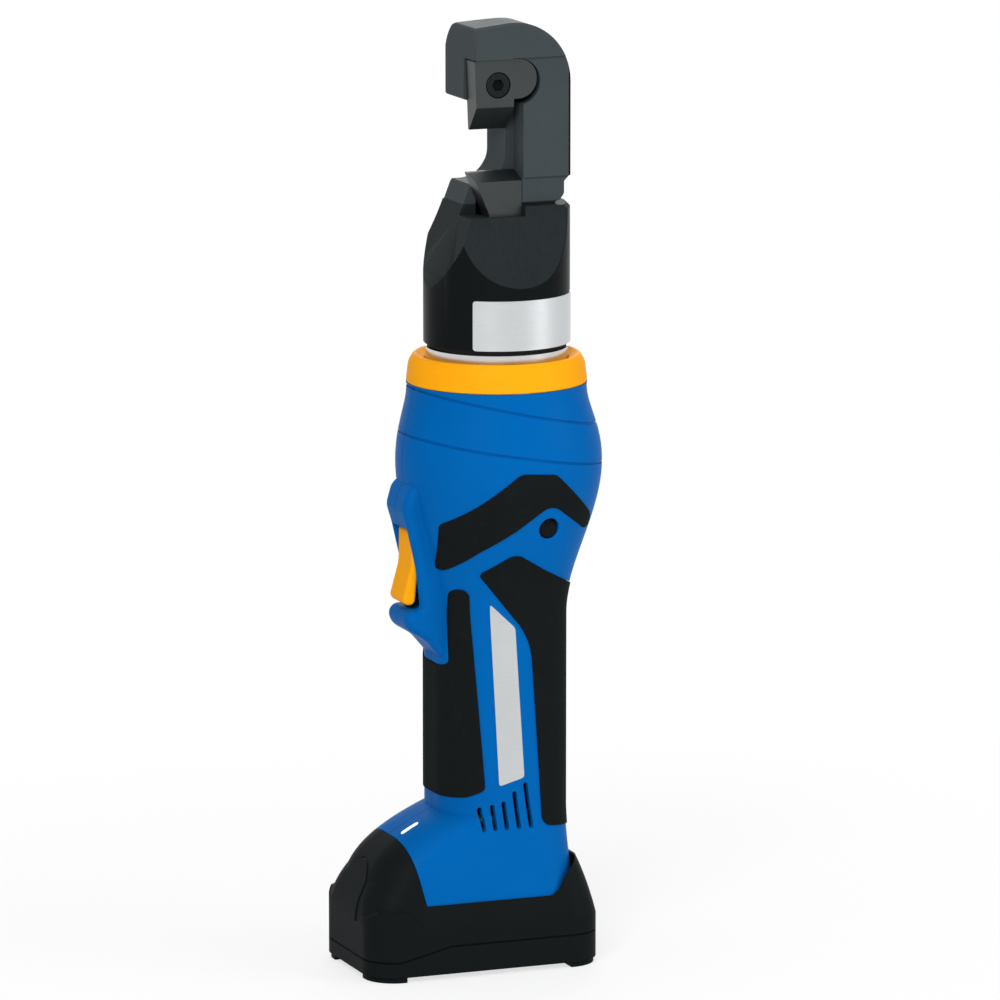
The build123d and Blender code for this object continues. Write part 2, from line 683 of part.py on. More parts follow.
def head_frame():
    solid = disc(HEAD_R, HEAD_Z, SHOULDER_Z)
    rim = solid.edges().filter_by(GeomType.CIRCLE)
    solid = chamfer(rim, 1.5)
    far_cut = run_out()
    solid -= far_cut
    solid -= mirror(far_cut, Plane.XZ)
    hook = slab(hook_face(), -HOOK_HALF_THICK, HOOK_HALF_THICK)
    sides = hook.faces().sort_by(Axis.Y)
    hook = chamfer(sides[0].edges() + sides[-1].edges(), 0.8)
    solid += hook & crown()
    facet = Polyline(
        (-2 * HEAD_R, FLOOR_Z + 0.8 - FACET_LENGTH), (-HEAD_R - 0.2, FLOOR_Z + 0.8 - FACET_LENGTH),
        (-HEAD_R - 0.2 + FACET_INSET, FLOOR_Z + 0.8), (-2 * HEAD_R, FLOOR_Z + 0.8), close=True)
    solid -= slab(make_face(Plane.XZ * facet), -HALF, HALF)
    cap_z = TOP_END_Z - 12.5
    for side in (-1, 1):
        steps = [
            (1.0, SHOULDER_Z + 10, cap_z), (2.0, SHOULDER_Z, SHOULDER_Z + 10),
            (4.0, SHOULDER_Z, SHOULDER_Z + 1.2)]
        for depth, z0, z1 in steps:
            near = side * (HOOK_HALF_THICK - depth)
            solid -= block(ARM_INNER - 1, HALF, *sorted((near, side * 2 * HEAD_R)), z0, z1)
    solid -= fixed_blade_pocket()
    solid -= blade_slot()
    solid -= disc(ROD_R + RUN_GAP, SPRING_SEAT_Z - 1, ROD_TOP_Z + RAM_STROKE + 1.0)
    solid -= disc(BARREL_R + RUN_GAP, HEAD_Z - 1, SPRING_SEAT_Z)
    solid -= snap_groove(0, BARREL_R + SNAP_RING_DEPTH + RUN_GAP, SNAP_Z, RUN_GAP)
    return solid


def fixed_blade_pocket():
    """Round-ended pocket under the nose, and the threaded hole of its screw."""
    z0 = FIXED_TOP_Z + 0.2 - 2 * (FIXED_END_R + 1.2)
    pocket = block(-2 * HEAD_R, FIXED_END_X, -2 * HEAD_R, BLADE_FACE, z0, FIXED_TOP_Z + 0.2)
    centre_z = FIXED_TOP_Z + 0.2 - FIXED_END_R - 1.2
    pocket += bar_y(FIXED_END_R + 1.2, FIXED_END_X, centre_z, -2 * HEAD_R, BLADE_FACE)
    return pocket + bar_y(BLADE_SCREW_R + FIT_GAP, BLADE_SCREW_X, BLADE_SCREW_Z, BLADE_FACE - 1, 7)


def blade_slot():
    """Slot of the moving blade, which opens to the near side above the shoulder of the head."""
    near = BLADE_NEAR - RUN_GAP
    far = BLADE_FACE + RUN_GAP
    slot = block(SHANK_X0 - RUN_GAP, BLADE_X1 + RUN_GAP, near, far, SPRING_SEAT_Z, FIXED_EDGE_Z + 9)
    top = FIXED_TOP_Z - FIXED_END_R
    return slot + block(-2 * HEAD_R, BLADE_X1 + RUN_GAP, -2 * HEAD_R, far, SLOT_TOP_Z, top)


def fixed_blade():
    near = BLADE_NEAR - 0.7
    points = [
        (-NOSE_REACH + 0.6, FIXED_TOP_Z), (FIXED_END_X + FIXED_END_R, FIXED_TOP_Z),
        (FIXED_END_X + FIXED_END_R, FIXED_TOP_Z - 2 * FIXED_END_R),
        (ARM_INNER - 0.3, FIXED_TOP_Z - 2 * FIXED_END_R),
        (ARM_INNER - 0.3, FIXED_EDGE_Z), (-NOSE_REACH + 1.6, FIXED_EDGE_Z)]
    radii = [1.0, FIXED_END_R - 0.1, FIXED_END_R - 0.1, 0.5, 0.3, 0.3]
    blade = slab(outline(points, radii), near, BLADE_FACE)
    bevel = Polyline(
        (near - 1, FIXED_EDGE_Z + 8.5), (near, FIXED_EDGE_Z + 8.5), (BLADE_FACE - 0.8, FIXED_EDGE_Z),
        (BLADE_FACE - 0.8, FIXED_EDGE_Z - 1), (near - 1, FIXED_EDGE_Z - 1), close=True)
    blade -= Pos(-HALF / 2, 0, 0) * extrude(make_face(Plane.YZ * bevel), HALF, dir=(1, 0, 0))
    blade -= bar_y(BLADE_SCREW_R + FIT_GAP, BLADE_SCREW_X, BLADE_SCREW_Z, near - 1, 0)
    seat = near + BLADE_SCREW_HEAD + 0.2
    return blade - bar_y(BLADE_SCREW_HEAD_R + 0.4, BLADE_SCREW_X, BLADE_SCREW_Z, near - 1, seat)


def socket_screw(x, z, head_y, radius, head_r, head_h, tip_y):
    """Socket-head cap screw along Y with its head towards -Y."""
    head = bar_y(head_r, x, z, head_y, head_y + head_h)
    shank = bar_y(radius, x, z, head_y + head_h, tip_y)
    hexagon = Plane.XZ * RegularPolygon(head_r * 0.54, 6)
    key = Pos(x, head_y + head_h * 0.55, z) * extrude(hexagon, HALF)
    return head + shank - key


def fixed_blade_screw():
    seat = BLADE_NEAR - 0.7 + BLADE_SCREW_HEAD + 0.2
    return socket_screw(
        BLADE_SCREW_X, BLADE_SCREW_Z, seat - BLADE_SCREW_HEAD, BLADE_SCREW_R, BLADE_SCREW_HEAD_R,
        BLADE_SCREW_HEAD, 6.0)


def moving_blade():
    tip = -NOSE_REACH + 0.1
    points = [
        (tip, BLADE_TOP_Z), (BLADE_X1, BLADE_TOP_Z), (BLADE_X1, ROD_STEP_Z), (SHANK_X0, ROD_STEP_Z),
        (SHANK_X0, SLOT_TOP_Z + 0.8)]
    blade = slab(outline(points, [0.4, 0.4, 0.6, 0.6, 4.0]), BLADE_NEAR, BLADE_FACE)
    bevel = Polyline(
        (BLADE_NEAR - 1, BLADE_TOP_Z - 3.0), (BLADE_NEAR, BLADE_TOP_Z - 3.0), (BLADE_FACE - 0.8, BLADE_TOP_Z),
        (BLADE_FACE - 0.8, BLADE_TOP_Z + 1), (BLADE_NEAR - 1, BLADE_TOP_Z + 1), close=True)
    blade -= Pos(-HALF / 2, 0, 0) * extrude(make_face(Plane.YZ * bevel), HALF, dir=(1, 0, 0))
    blade -= bar_y(SHANK_SCREW_R + FIT_GAP, SHANK_SCREW_X, SHANK_SCREW_Z, -HALF, 0)
    head_seat = BLADE_NEAR + SHANK_SCREW_HEAD + 0.2
    return blade - bar_y(SHANK_SCREW_HEAD_R + 0.2, SHANK_SCREW_X, SHANK_SCREW_Z, -HALF, head_seat)


def moving_blade_screw():
    return socket_screw(
        SHANK_SCREW_X, SHANK_SCREW_Z, BLADE_NEAR + 0.2, SHANK_SCREW_R, SHANK_SCREW_HEAD_R,
        SHANK_SCREW_HEAD, 4.0)


def piston():
    """Piston with its rod, which ends in a flat seat for the blade."""
    solid = disc(PISTON_R, PISTON_Z0, PISTON_Z1) + disc(ROD_R, PISTON_Z1, ROD_TOP_Z)
    solid -= block(-HALF, HALF, -HALF, BLADE_FACE, ROD_STEP_Z, ROD_TOP_Z + 1)
    seal_top = SEAL_Z + SEAL_HEIGHT
    solid -= disc(HALF, SEAL_Z, seal_top) - disc(PISTON_R - SEAL_DEPTH, SEAL_Z, seal_top)
    return solid - bar_y(SHANK_SCREW_R + FIT_GAP, SHANK_SCREW_X, SHANK_SCREW_Z, BLADE_FACE - 1, 4.5)


def piston_seal():
    gap = FIT_GAP / 2
    ring = disc(PISTON_R, SEAL_Z + gap, SEAL_Z + SEAL_HEIGHT - gap)
    return ring - disc(PISTON_R - SEAL_DEPTH + gap, SEAL_Z - 1, SEAL_Z + SEAL_HEIGHT + 1)


def return_spring():
    radius = (ROD_R + BARREL_BORE_R) / 2
    over = SPRING_WIRE / 4
    return coil(radius, SPRING_WIRE, PISTON_Z1 - over, SPRING_SEAT_Z + over, SPRING_TURNS)


# Gears

def gear_face(teeth, tip, root, backlash):
    """Involute-like gear outline with straight flanks, one tooth centred on +X."""
    pitch_r = teeth * GEAR_MODULE / 2
    base_r = pitch_r * math.cos(math.radians(20))
    at_pitch = math.tan(math.radians(20)) - math.radians(20)

    def half_angle(r):
        angle = math.acos(min(1.0, base_r / r))
        return math.pi / (2 * teeth) - backlash / (2 * pitch_r) + at_pitch - (math.tan(angle) - angle)

    tip_r = pitch_r + tip
    root_r = pitch_r - root
    points = []
    for i in range(teeth):
        middle = 2 * math.pi * i / teeth
        for r, sign in ((root_r, -1), (tip_r, -1), (tip_r, 1), (root_r, 1)):
            angle = middle + sign * half_angle(max(r, base_r))
            points.append((r * math.cos(angle), r * math.sin(angle)))
    return make_face(Polyline(*points, close=True))


def sun_gear():
    face = gear_face(SUN_TEETH, TOOTH_TIP, TOOTH_ROOT, BACKLASH)
    gear = extrude(Plane.XY.offset(GEAR_Z0) * face, GEAR_WIDTH)
    return gear - disc(SHAFT_R, GEAR_Z0 - 1, GEAR_Z1 + 1)


def planet_gear(index):
    face = gear_face(PLANET_TEETH, TOOTH_TIP, TOOTH_ROOT, BACKLASH)
    gear = Pos(PLANET_ORBIT, 0, GEAR_Z0) * extrude(face, GEAR_WIDTH)
    gear -= disc(PLANET_PIN_R + FIT_GAP, GEAR_Z0 - 1, GEAR_Z1 + 1, PLANET_ORBIT)
    return Rot(0, 0, 360 / PLANETS * index) * gear


def gear_case():
    """Gearbox body with the fixed ring gear, bolted on the motor face."""
    solid = disc(CASE_R, MOTOR_Z1, CASE_Z1)
    solid -= disc(MOTOR_BOSS_R + SEAT_GAP, MOTOR_Z1 - 1, MOTOR_Z1 + CASE_FLOOR + 1)
    teeth = gear_face(RING_TEETH, TOOTH_ROOT, TOOTH_TIP, -BACKLASH)
    floor_z = MOTOR_Z1 + CASE_FLOOR
    solid -= extrude(Plane.XY.offset(floor_z) * teeth, CARRIER_Z - floor_z - 0.2)
    solid -= disc(CARRIER_R + RUN_GAP, CARRIER_Z - 0.3, CARRIER_Z + CARRIER_THICK + RUN_GAP)
    solid -= disc(BEARING_R + FIT_GAP, CARRIER_Z + CARRIER_THICK, BEARING_Z + BEARING_HEIGHT + FIT_GAP)
    return solid - disc(BEARING_R - 2, BEARING_Z, CASE_Z1 + 1)


def carrier_bearing():
    ring = disc(BEARING_R, BEARING_Z, BEARING_Z + BEARING_HEIGHT)
    return ring - disc(CARRIER_JOURNAL_R + FIT_GAP, BEARING_Z - 1, BEARING_Z + BEARING_HEIGHT + 1)


def eccentric_carrier():
    """Planet carrier with its pins, journal and the eccentric that drives the pump."""
    solid = disc(CARRIER_R, CARRIER_Z, CARRIER_Z + CARRIER_THICK)
    solid += disc(CARRIER_JOURNAL_R + 2, CARRIER_Z, BEARING_Z - FIT_GAP)
    solid += disc(CARRIER_JOURNAL_R, CARRIER_Z, ECCENTRIC_Z0 - 0.5)
    solid += disc(ECCENTRIC_R, ECCENTRIC_Z0 - 0.5, ECCENTRIC_Z1, ECCENTRIC_OFFSET)
    for i in range(PLANETS):
        solid += Rot(0, 0, 360 / PLANETS * i) * disc(PLANET_PIN_R, GEAR_Z0, CARRIER_Z, PLANET_ORBIT)
    return solid


def eccentric_bearing():
    ring = disc(ECCENTRIC_BEARING_R, ECCENTRIC_Z0, ECCENTRIC_Z1, ECCENTRIC_OFFSET)
    return ring - disc(ECCENTRIC_R, ECCENTRIC_Z0 - 1, ECCENTRIC_Z1 + 1, ECCENTRIC_OFFSET)


# Motor


def motor_can():
    solid = disc(MOTOR_R, MOTOR_Z0, MOTOR_Z1) + disc(MOTOR_BOSS_R, MOTOR_Z1, MOTOR_Z1 + CASE_FLOOR)
    solid -= disc(MOTOR_R - CAN_WALL, MOTOR_Z0 - 1, MOTOR_Z1 - 2)
    return solid - disc(SHAFT_R + FIT_GAP, MOTOR_Z0, MOTOR_Z1 + CASE_FLOOR + 1)


def motor_magnets():
    outer = MOTOR_R - CAN_WALL - FIT_GAP
    ring = disc(outer, MOTOR_Z0 + 12, MOTOR_Z1 - 10)
    ring -= disc(MAGNET_INNER_R, MOTOR_Z0, MOTOR_Z1)
    return ring - block(-HALF, HALF, -4, 4, MOTOR_Z0, MOTOR_Z1)


def motor_end_cap():
    solid = disc(MOTOR_R, MOTOR_Z0 - END_CAP_HEIGHT, MOTOR_Z0)
    solid += disc(MOTOR_R - CAN_WALL - FIT_GAP, MOTOR_Z0, MOTOR_Z0 + 2)
    solid += disc(5.5, MOTOR_Z0 - END_CAP_HEIGHT - 2.5, MOTOR_Z0)
    for side in (-1, 1):
        x = side * TAG_X
        solid += block(x - 0.4, x + 0.4, -2.5, 2.5, MOTOR_Z0 - END_CAP_HEIGHT - TAG_LENGTH, MOTOR_Z0)
    return solid - disc(SHAFT_R + FIT_GAP, MOTOR_Z0 - 20, MOTOR_Z0 + 3)


def rotor():
    """Shaft with the slotted armature core and the commutator."""
    solid = disc(SHAFT_R, MOTOR_Z0 - END_CAP_HEIGHT - 3.5, GEAR_Z1)
    core = disc(CORE_R, MOTOR_Z0 + 14, MOTOR_Z1 - 12)
    for i in range(POLES):
        neck = block(7.5, CORE_R + 1, -0.9, 0.9, MOTOR_Z0, MOTOR_Z1)
        slot = disc(3.0, MOTOR_Z0, MOTOR_Z1, 8.6)
        core -= Rot(0, 0, 360 / POLES * i) * (neck + slot)
    return solid + core + disc(4.5, MOTOR_Z0 + 3, MOTOR_Z0 + 11)


# Pump


def pump_block():
    solid = disc(PUMP_R, PUMP_Z0, BARREL_Z0)
    solid -= disc(CHAMBER_R, PUMP_Z0 - 1, ECCENTRIC_Z1 + 1.0)
    solid -= bar_x(PLUNGER_R + FIT_GAP, 0, PLUNGER_Z, 0, PUMP_R + 1)
    solid -= disc(PORT_R, PLUNGER_Z, BARREL_Z0 + 1, PLUNGER_X0 + PLUNGER_LENGTH + 2)
    solid -= disc(VALVE_R + FIT_GAP, BARREL_Z0 - VALVE_LENGTH, BARREL_Z0 + 1, PORT_X)
    bore_end = RELEASE_TIP + RELEASE_TRAVEL + 1
    return solid - bar_y(RELEASE_STEM_R + FIT_GAP, RELEASE_X, RELEASE_Z, -HALF, bore_end)


def pump_plunger():
    return bar_x(PLUNGER_R, 0, PLUNGER_Z, PLUNGER_X0, PLUNGER_X0 + PLUNGER_LENGTH)


def plunger_plug():
    """Screwed plug that closes the plunger bore."""
    plug = bar_x(PLUNGER_R, 0, PLUNGER_Z, PUMP_R - PLUG_LENGTH, PUMP_R - 0.4)
    return plug - bar_x(1.5, 0, PLUNGER_Z, PUMP_R - 1.6, PUMP_R)


def delivery_valve():
    body = disc(VALVE_R, BARREL_Z0 - VALVE_LENGTH + FIT_GAP, BARREL_Z0 - FIT_GAP, PORT_X)
    return body - disc(PORT_R * 0.7, BARREL_Z0 - VALVE_LENGTH - 1, BARREL_Z0 + 1, PORT_X)


def oil_bladder():
    """Rubber reservoir sleeve round the pump."""
    z0 = RELEASE_Z + RELEASE_R + 4.0
    z1 = z0 + BLADDER_HEIGHT
    inner = PUMP_R + SEAT_GAP
    return turned([
        (inner, z0), (inner + 2, z0), (inner + BLADDER_BULGE, z0 + 5), (inner + BLADDER_BULGE, z1 - 5),
        (inner + 2, z1), (inner, z1)], 0.9)


def release_button():
    """Push-button whose stem reaches the release valve in the pump."""
    cap = bar_y(RELEASE_R, RELEASE_X, RELEASE_Z, RELEASE_FACE, GUIDE_Y - RELEASE_TRAVEL - RUN_GAP)
    cap = fillet(cap.faces().sort_by(Axis.Y)[0].edges(), 1.2)
    return cap + bar_y(RELEASE_STEM_R, RELEASE_X, RELEASE_Z, RELEASE_FACE + 1, RELEASE_TIP)


# Trigger group

def trigger():
    """Lever with a hollowed finger face, hung on a narrow arm."""
    points = [
        (-34.8, TRIGGER_Z1), (-35.0, TRIGGER_Z1 - 13), (-38.9, TRIGGER_Z0), (-33.6, TRIGGER_Z0),
        (-30.8, TRIGGER_Z1)]
    lever = slab(outline(points, [1.7, 20.0, 2.4, 2.0, 1.7]), -TRIGGER_HALF_WIDTH, TRIGGER_HALF_WIDTH)
    sides = lever.faces().sort_by(Axis.Y)
    lever = fillet(sides[0].edges() + sides[-1].edges(), TRIGGER_EDGE)
    lever += block(PIVOT_X - 3, PIVOT_X + 3, -BOSS_HALF, BOSS_HALF, TRIGGER_Z1 - 5, PIVOT_Z)
    lever += bar_y(3.0, PIVOT_X, PIVOT_Z, -BOSS_HALF, BOSS_HALF)
    return lever - bar_y(TRIGGER_PIN_R + FIT_GAP, PIVOT_X, PIVOT_Z, -HALF, HALF)


def trigger_pin():
    return bar_y(TRIGGER_PIN_R, PIVOT_X, PIVOT_Z, -PIN_HALF + FIT_GAP, PIN_HALF - FIT_GAP)


def trigger_spring():
    """Torsion spring on the trigger pin."""
    ring = coil(TRIGGER_PIN_R + 0.85, 0.8, -1.2, 1.6, 3)
    return Pos(PIVOT_X, BOSS_HALF + 1.4, PIVOT_Z) * Rot(90, 0, 0) * ring


def trigger_switch():
    body = block(SWITCH_X0, SWITCH_X1, -5, 5, TRIGGER_Z0 + 2.1, CASE_Z1 - 0.6)
    return body + block(SWITCH_X0 - 0.5, SWITCH_X0, -2, 2, TRIGGER_Z0 + 11, TRIGGER_Z0 + 14)


# Electronics in the foot

def control_board():
    plate = block(BOARD_X0, HALF, -HALF, HALF, BOARD_Z, BOARD_Z + BOARD_THICK) & shoe_form(WALL + RUN_GAP)
    top = BOARD_Z + BOARD_THICK
    for y in (-CAPACITOR_Y, CAPACITOR_Y):
        plate += disc(CAPACITOR_R, top, top + CAPACITOR_HEIGHT, CAPACITOR_X, y)
    plate += block(-6, 4, -6, 6, top, top + 1.6)
    return plate + block(7, 13, -9, 9, top, top + DRIVER_HEIGHT)


def contact_block():
    """Spring contacts that meet the terminals of the pack."""
    body = block(-12, 8, -8, 8, RIDGE_TOP_Z + 1.0, BOARD_Z)
    for y in (-5, 0, 5):
        body -= block(-13, 9, y - 1.0, y + 1.0, RIDGE_TOP_Z, RIDGE_TOP_Z + 2.0)
    return body


def status_light():
    return status_slot(0, 20) & shoe_form(-0.15)


# Battery pack

def pack_plan(z, inset):
    return section(z, -PACK_FRONT + inset, PACK_REAR - inset, PACK_HALF_WIDTH - inset, PACK_CORNER - inset)


@lru_cache
def pack_form(inset, z0):
    """Base with upright sides, shoulders that close in under the foot, and the toe."""
    front = HANDLE_X - HANDLE_HALF_X - TOE_REACH
    rear = HANDLE_X + HANDLE_HALF_X
    base = extrude(pack_plan(z0, inset), PACK_SIDE_TOP - z0)
    upper = section(
        PACK_REAR_TOP, front + 4.5 + inset, rear + FOOT_FLARE / 3 + RUN_GAP + 1.0 - inset,
        HANDLE_HALF_Y + 1.4 - inset, 14.0 - inset)
    middle = section(
        (PACK_SIDE_TOP + PACK_REAR_TOP) / 2, -PACK_FRONT + 1.2 + inset, PACK_REAR - 2.0 - inset,
        HANDLE_HALF_Y + FOOT_FLARE - inset, PACK_CORNER + 1.0 - inset)
    shoulder = loft([pack_plan(PACK_SIDE_TOP, inset), middle, upper])
    toe = shoe_form(inset) & block(-HALF, TOE_FACE_BOTTOM, -HALF, HALF, SADDLE_Z - 1, HALF)
    return base + shoulder + toe


def bumper():
    """Raised rim round the front corners of the pack."""
    wedge = Polyline(
        (-HALF, PACK_SIDE_TOP - 1), (-36, PACK_SIDE_TOP - 1), (-45, BUMPER_TOP), (-54.5, BUMPER_TOP),
        (-PACK_FRONT, BUMPER_TOP - 3), (-HALF, BUMPER_TOP - 3), close=True)
    rim = extrude(pack_plan(PACK_SIDE_TOP - 1, 0), BUMPER_TOP - PACK_SIDE_TOP + 1)
    return rim & slab(make_face(Plane.XZ * wedge), -HALF, HALF)


def foot_room(gap):
    """Straight way for the foot, as wide as its lowest section, so that the pack pulls off downwards."""
    front = HANDLE_X - HANDLE_HALF_X - TOE_REACH
    rear = HANDLE_X + HANDLE_HALF_X + FOOT_FLARE / 3
    corner = HANDLE_ROUND * HANDLE_HALF_Y - FOOT_FLARE + gap
    plan = section(SADDLE_Z - gap, front - gap, rear + gap, HANDLE_HALF_Y + FOOT_FLARE + gap, corner)
    return extrude(plan, FOOT_HEIGHT + gap) & slab(foot_outline(-gap, -gap), -HALF, HALF)


def pack_seam():
    """Everything under the seam, which dips towards the front."""
    points = Polyline(
        (-HALF, SEAM_Z - SEAM_DIP), (-47, SEAM_Z - SEAM_DIP), (-28, SEAM_Z), (HALF, SEAM_Z),
        (HALF, -HALF), (-HALF, -HALF), close=True)
    return slab(make_face(Plane.XZ * points), -HALF, HALF)


def latch_prism(grow):
    half_width = LATCH_HALF_WIDTH + grow
    z0 = LATCH_Z0 - grow
    arch_z = LATCH_Z0 + LATCH_HEIGHT - LATCH_HALF_WIDTH
    shape = block(-HALF, -43, -half_width, half_width, z0, arch_z)
    return shape + bar_x(half_width, 0, arch_z, -HALF, -43)


def pack_top_shell():
    solid = pack_form(0, PAD_HEIGHT) + bumper()
    solid -= foot_room(RUN_GAP)
    solid -= pack_seam()
    hollow = pack_form(PACK_WALL, PAD_HEIGHT + PACK_WALL)
    hollow -= foot_room(RUN_GAP + PACK_WALL)
    for x, y in PACK_SCREWS:
        hollow -= disc(PACK_BOSS_R, SEAM_Z, HALF, x, y)
    solid -= hollow
    solid += ridge(0, SADDLE_Z - PACK_WALL, RIDGE_X0, RIDGE_X1)
    solid -= ridge(SEAT_GAP - RIDGE_WALL, PAD_HEIGHT, CELL_X0 - SEAT_GAP, CELL_X1 + SEAT_GAP)
    solid -= latch_prism(RUN_GAP)
    for y in TERMINAL_Y:
        solid -= terminal(y, SEAT_GAP)
    for x, y in PACK_SCREWS:
        solid -= disc(PACK_SCREW_R + FIT_GAP, PAD_HEIGHT, PACK_SCREW_TOP, x, y)
    return solid


def terminal(y, gap):
    z0 = RIDGE_TOP_Z - 1.2 - gap
    return block(-10 - gap, 6 + gap, y - 0.5 - gap, y + 0.5 + gap, z0, RIDGE_TOP_Z + 0.7)


def pack_terminals():
    return Compound([terminal(y, 0) for y in TERMINAL_Y])


def pack_tray():
    solid = pack_form(0, PAD_HEIGHT) & pack_seam()
    pads = extrude(pack_plan(0, 0.8), PAD_HEIGHT)
    middle = block(-PACK_FRONT + PAD_LENGTH, PACK_REAR - PAD_LENGTH, -HALF, HALF, -1, PAD_HEIGHT)
    centre = block(-HALF, HALF, PAD_WIDTH - PACK_HALF_WIDTH, PACK_HALF_WIDTH - PAD_WIDTH, -1, PAD_HEIGHT)
    solid += pads - middle - centre
    solid -= pack_form(PACK_WALL, PAD_HEIGHT + PACK_WALL)
    for x, y in PACK_SCREWS:
        solid += disc(PACK_BOSS_R, PAD_HEIGHT, SEAM_Z, x, y) & pack_seam()
        solid -= disc(PACK_SCREW_R + FIT_GAP, -1, SEAM_Z + 1, x, y)
        solid -= disc(PACK_SCREW_HEAD_R + SEAT_GAP, -1, PAD_HEIGHT + 1.0, x, y)
    return solid


def pack_screws():
    screws = []
    for x, y in PACK_SCREWS:
        shank = disc(PACK_SCREW_R, PAD_HEIGHT + 1.0, PACK_SCREW_TOP - 1, x, y)
        screws.append(shank + disc(PACK_SCREW_HEAD_R, PAD_HEIGHT - 0.6, PAD_HEIGHT + 1.0, x, y))
    return Compound(screws)


def pack_cells():
    cells = []
    for y, z in ((-CELL_PITCH / 2, CELL_LOW_Z), (CELL_PITCH / 2, CELL_LOW_Z), (0, CELL_TOP_Z)):
        body = bar_x(CELL_R, y, z, CELL_X0, CELL_X1 - 1)
        cells.append(body + bar_x(3.0, y, z, CELL_X1 - 1, CELL_X1))
    return Compound(cells)


def pack_board():
    """Cell protection board beside the cells."""
    z0 = PAD_HEIGHT + PACK_WALL
    return block(CELL_X0 + 8, CELL_X1 - 10, CELL_PITCH + 1.0, CELL_PITCH + 2.4, z0, SEAM_Z + 5)


def pack_latch():
    """Arched push-button in the toe of the pack."""
    skin = pack_form(-0.4, PAD_HEIGHT) - pack_form(LATCH_THICK, PAD_HEIGHT)
    return skin & latch_prism(0)


def build():
    body = housing()
    nodes = {
        "housing_left": half(body, -1), "housing_right": half(body, 1), "collar_ring": collar_ring(),
        "housing_screws": housing_screws(), "status_light": status_light(),
        "cylinder_barrel": cylinder_barrel(), "head_retaining_ring": head_retaining_ring(),
        "head_frame": head_frame(), "fixed_blade": fixed_blade(), "fixed_blade_screw": fixed_blade_screw(),
        "piston": piston(), "piston_seal": piston_seal(), "return_spring": return_spring(),
        "moving_blade": moving_blade(), "moving_blade_screw": moving_blade_screw(),
        "motor_can": motor_can(), "motor_magnets": motor_magnets(), "motor_end_cap": motor_end_cap(),
        "rotor": rotor(), "sun_gear": sun_gear(), "gear_case": gear_case(),
        "eccentric_carrier": eccentric_carrier(), "carrier_bearing": carrier_bearing(),
        "eccentric_bearing": eccentric_bearing(), "pump_block": pump_block(), "pump_plunger": pump_plunger(),
        "plunger_plug": plunger_plug(), "delivery_valve": delivery_valve(), "oil_bladder": oil_bladder(),
        "release_button": release_button(), "trigger": trigger(), "trigger_pin": trigger_pin(),
        "trigger_spring": trigger_spring(), "trigger_switch": trigger_switch(),
        "control_board": control_board(), "contact_block": contact_block(),
        "pack_top_shell": pack_top_shell(), "pack_tray": pack_tray(), "pack_screws": pack_screws(),
        "pack_cells": pack_cells(), "pack_board": pack_board(), "pack_terminals": pack_terminals(),
        "pack_latch": pack_latch()}
    for i in range(PLANETS):
        nodes[f"planet_gear_{i + 1}"] = planet_gear(i)
    for name, face in INLAYS.items():
        nodes[f"{name}_left"] = inlay(face, -1)
        nodes[f"{name}_right"] = inlay(face, 1)
    return nodes


os.makedirs("parts", exist_ok=True)
for name, shape in build().items():
    export_step(Pos(AXIS_X, 0, 0) * shape, f"parts/{name}.step")
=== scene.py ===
"""Looks of a hand-held electro-hydraulic bolt cutter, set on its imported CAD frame."""
import json
import math

import bmesh
import bpy
from bpy.props import FloatProperty, FloatVectorProperty, PointerProperty
from mathutils import Matrix, Vector
from mathutils.bvhtree import BVHTree


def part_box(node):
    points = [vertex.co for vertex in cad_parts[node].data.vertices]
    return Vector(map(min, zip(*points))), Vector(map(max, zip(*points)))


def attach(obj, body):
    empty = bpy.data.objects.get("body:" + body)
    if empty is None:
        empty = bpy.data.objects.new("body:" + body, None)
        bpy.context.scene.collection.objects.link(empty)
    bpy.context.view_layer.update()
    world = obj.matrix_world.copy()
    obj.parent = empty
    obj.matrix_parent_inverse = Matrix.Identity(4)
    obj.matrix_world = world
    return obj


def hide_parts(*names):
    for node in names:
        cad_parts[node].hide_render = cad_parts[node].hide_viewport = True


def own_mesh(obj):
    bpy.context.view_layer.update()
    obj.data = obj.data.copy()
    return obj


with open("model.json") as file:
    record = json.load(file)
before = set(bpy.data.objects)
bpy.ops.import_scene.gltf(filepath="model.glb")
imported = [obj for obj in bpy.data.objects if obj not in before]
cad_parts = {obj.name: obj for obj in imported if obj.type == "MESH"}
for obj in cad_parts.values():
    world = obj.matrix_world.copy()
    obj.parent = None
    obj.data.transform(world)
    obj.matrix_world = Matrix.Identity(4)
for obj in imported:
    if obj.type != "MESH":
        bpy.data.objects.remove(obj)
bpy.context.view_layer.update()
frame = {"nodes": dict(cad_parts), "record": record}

bl_info = {
    "name": "Electro-hydraulic bolt cutter",
    "version": (1, 0, 0),
    "blender": (4, 5, 0),
    "location": "View3D > Sidebar > Cutter",
    "description": "Dresses the CAD frame of a hand-held bolt cutter and sets its stage",
    "category": "Object",
}

BEHAVIOUR = frame["record"]["behaviour"]
BODY_OF = {node: body for body, nodes in BEHAVIOUR["bodies"].items() for node in nodes}
SLOT_OF = {row["node"]: row["material_slot"] for row in frame["record"]["subparts"]}
MM = 0.001

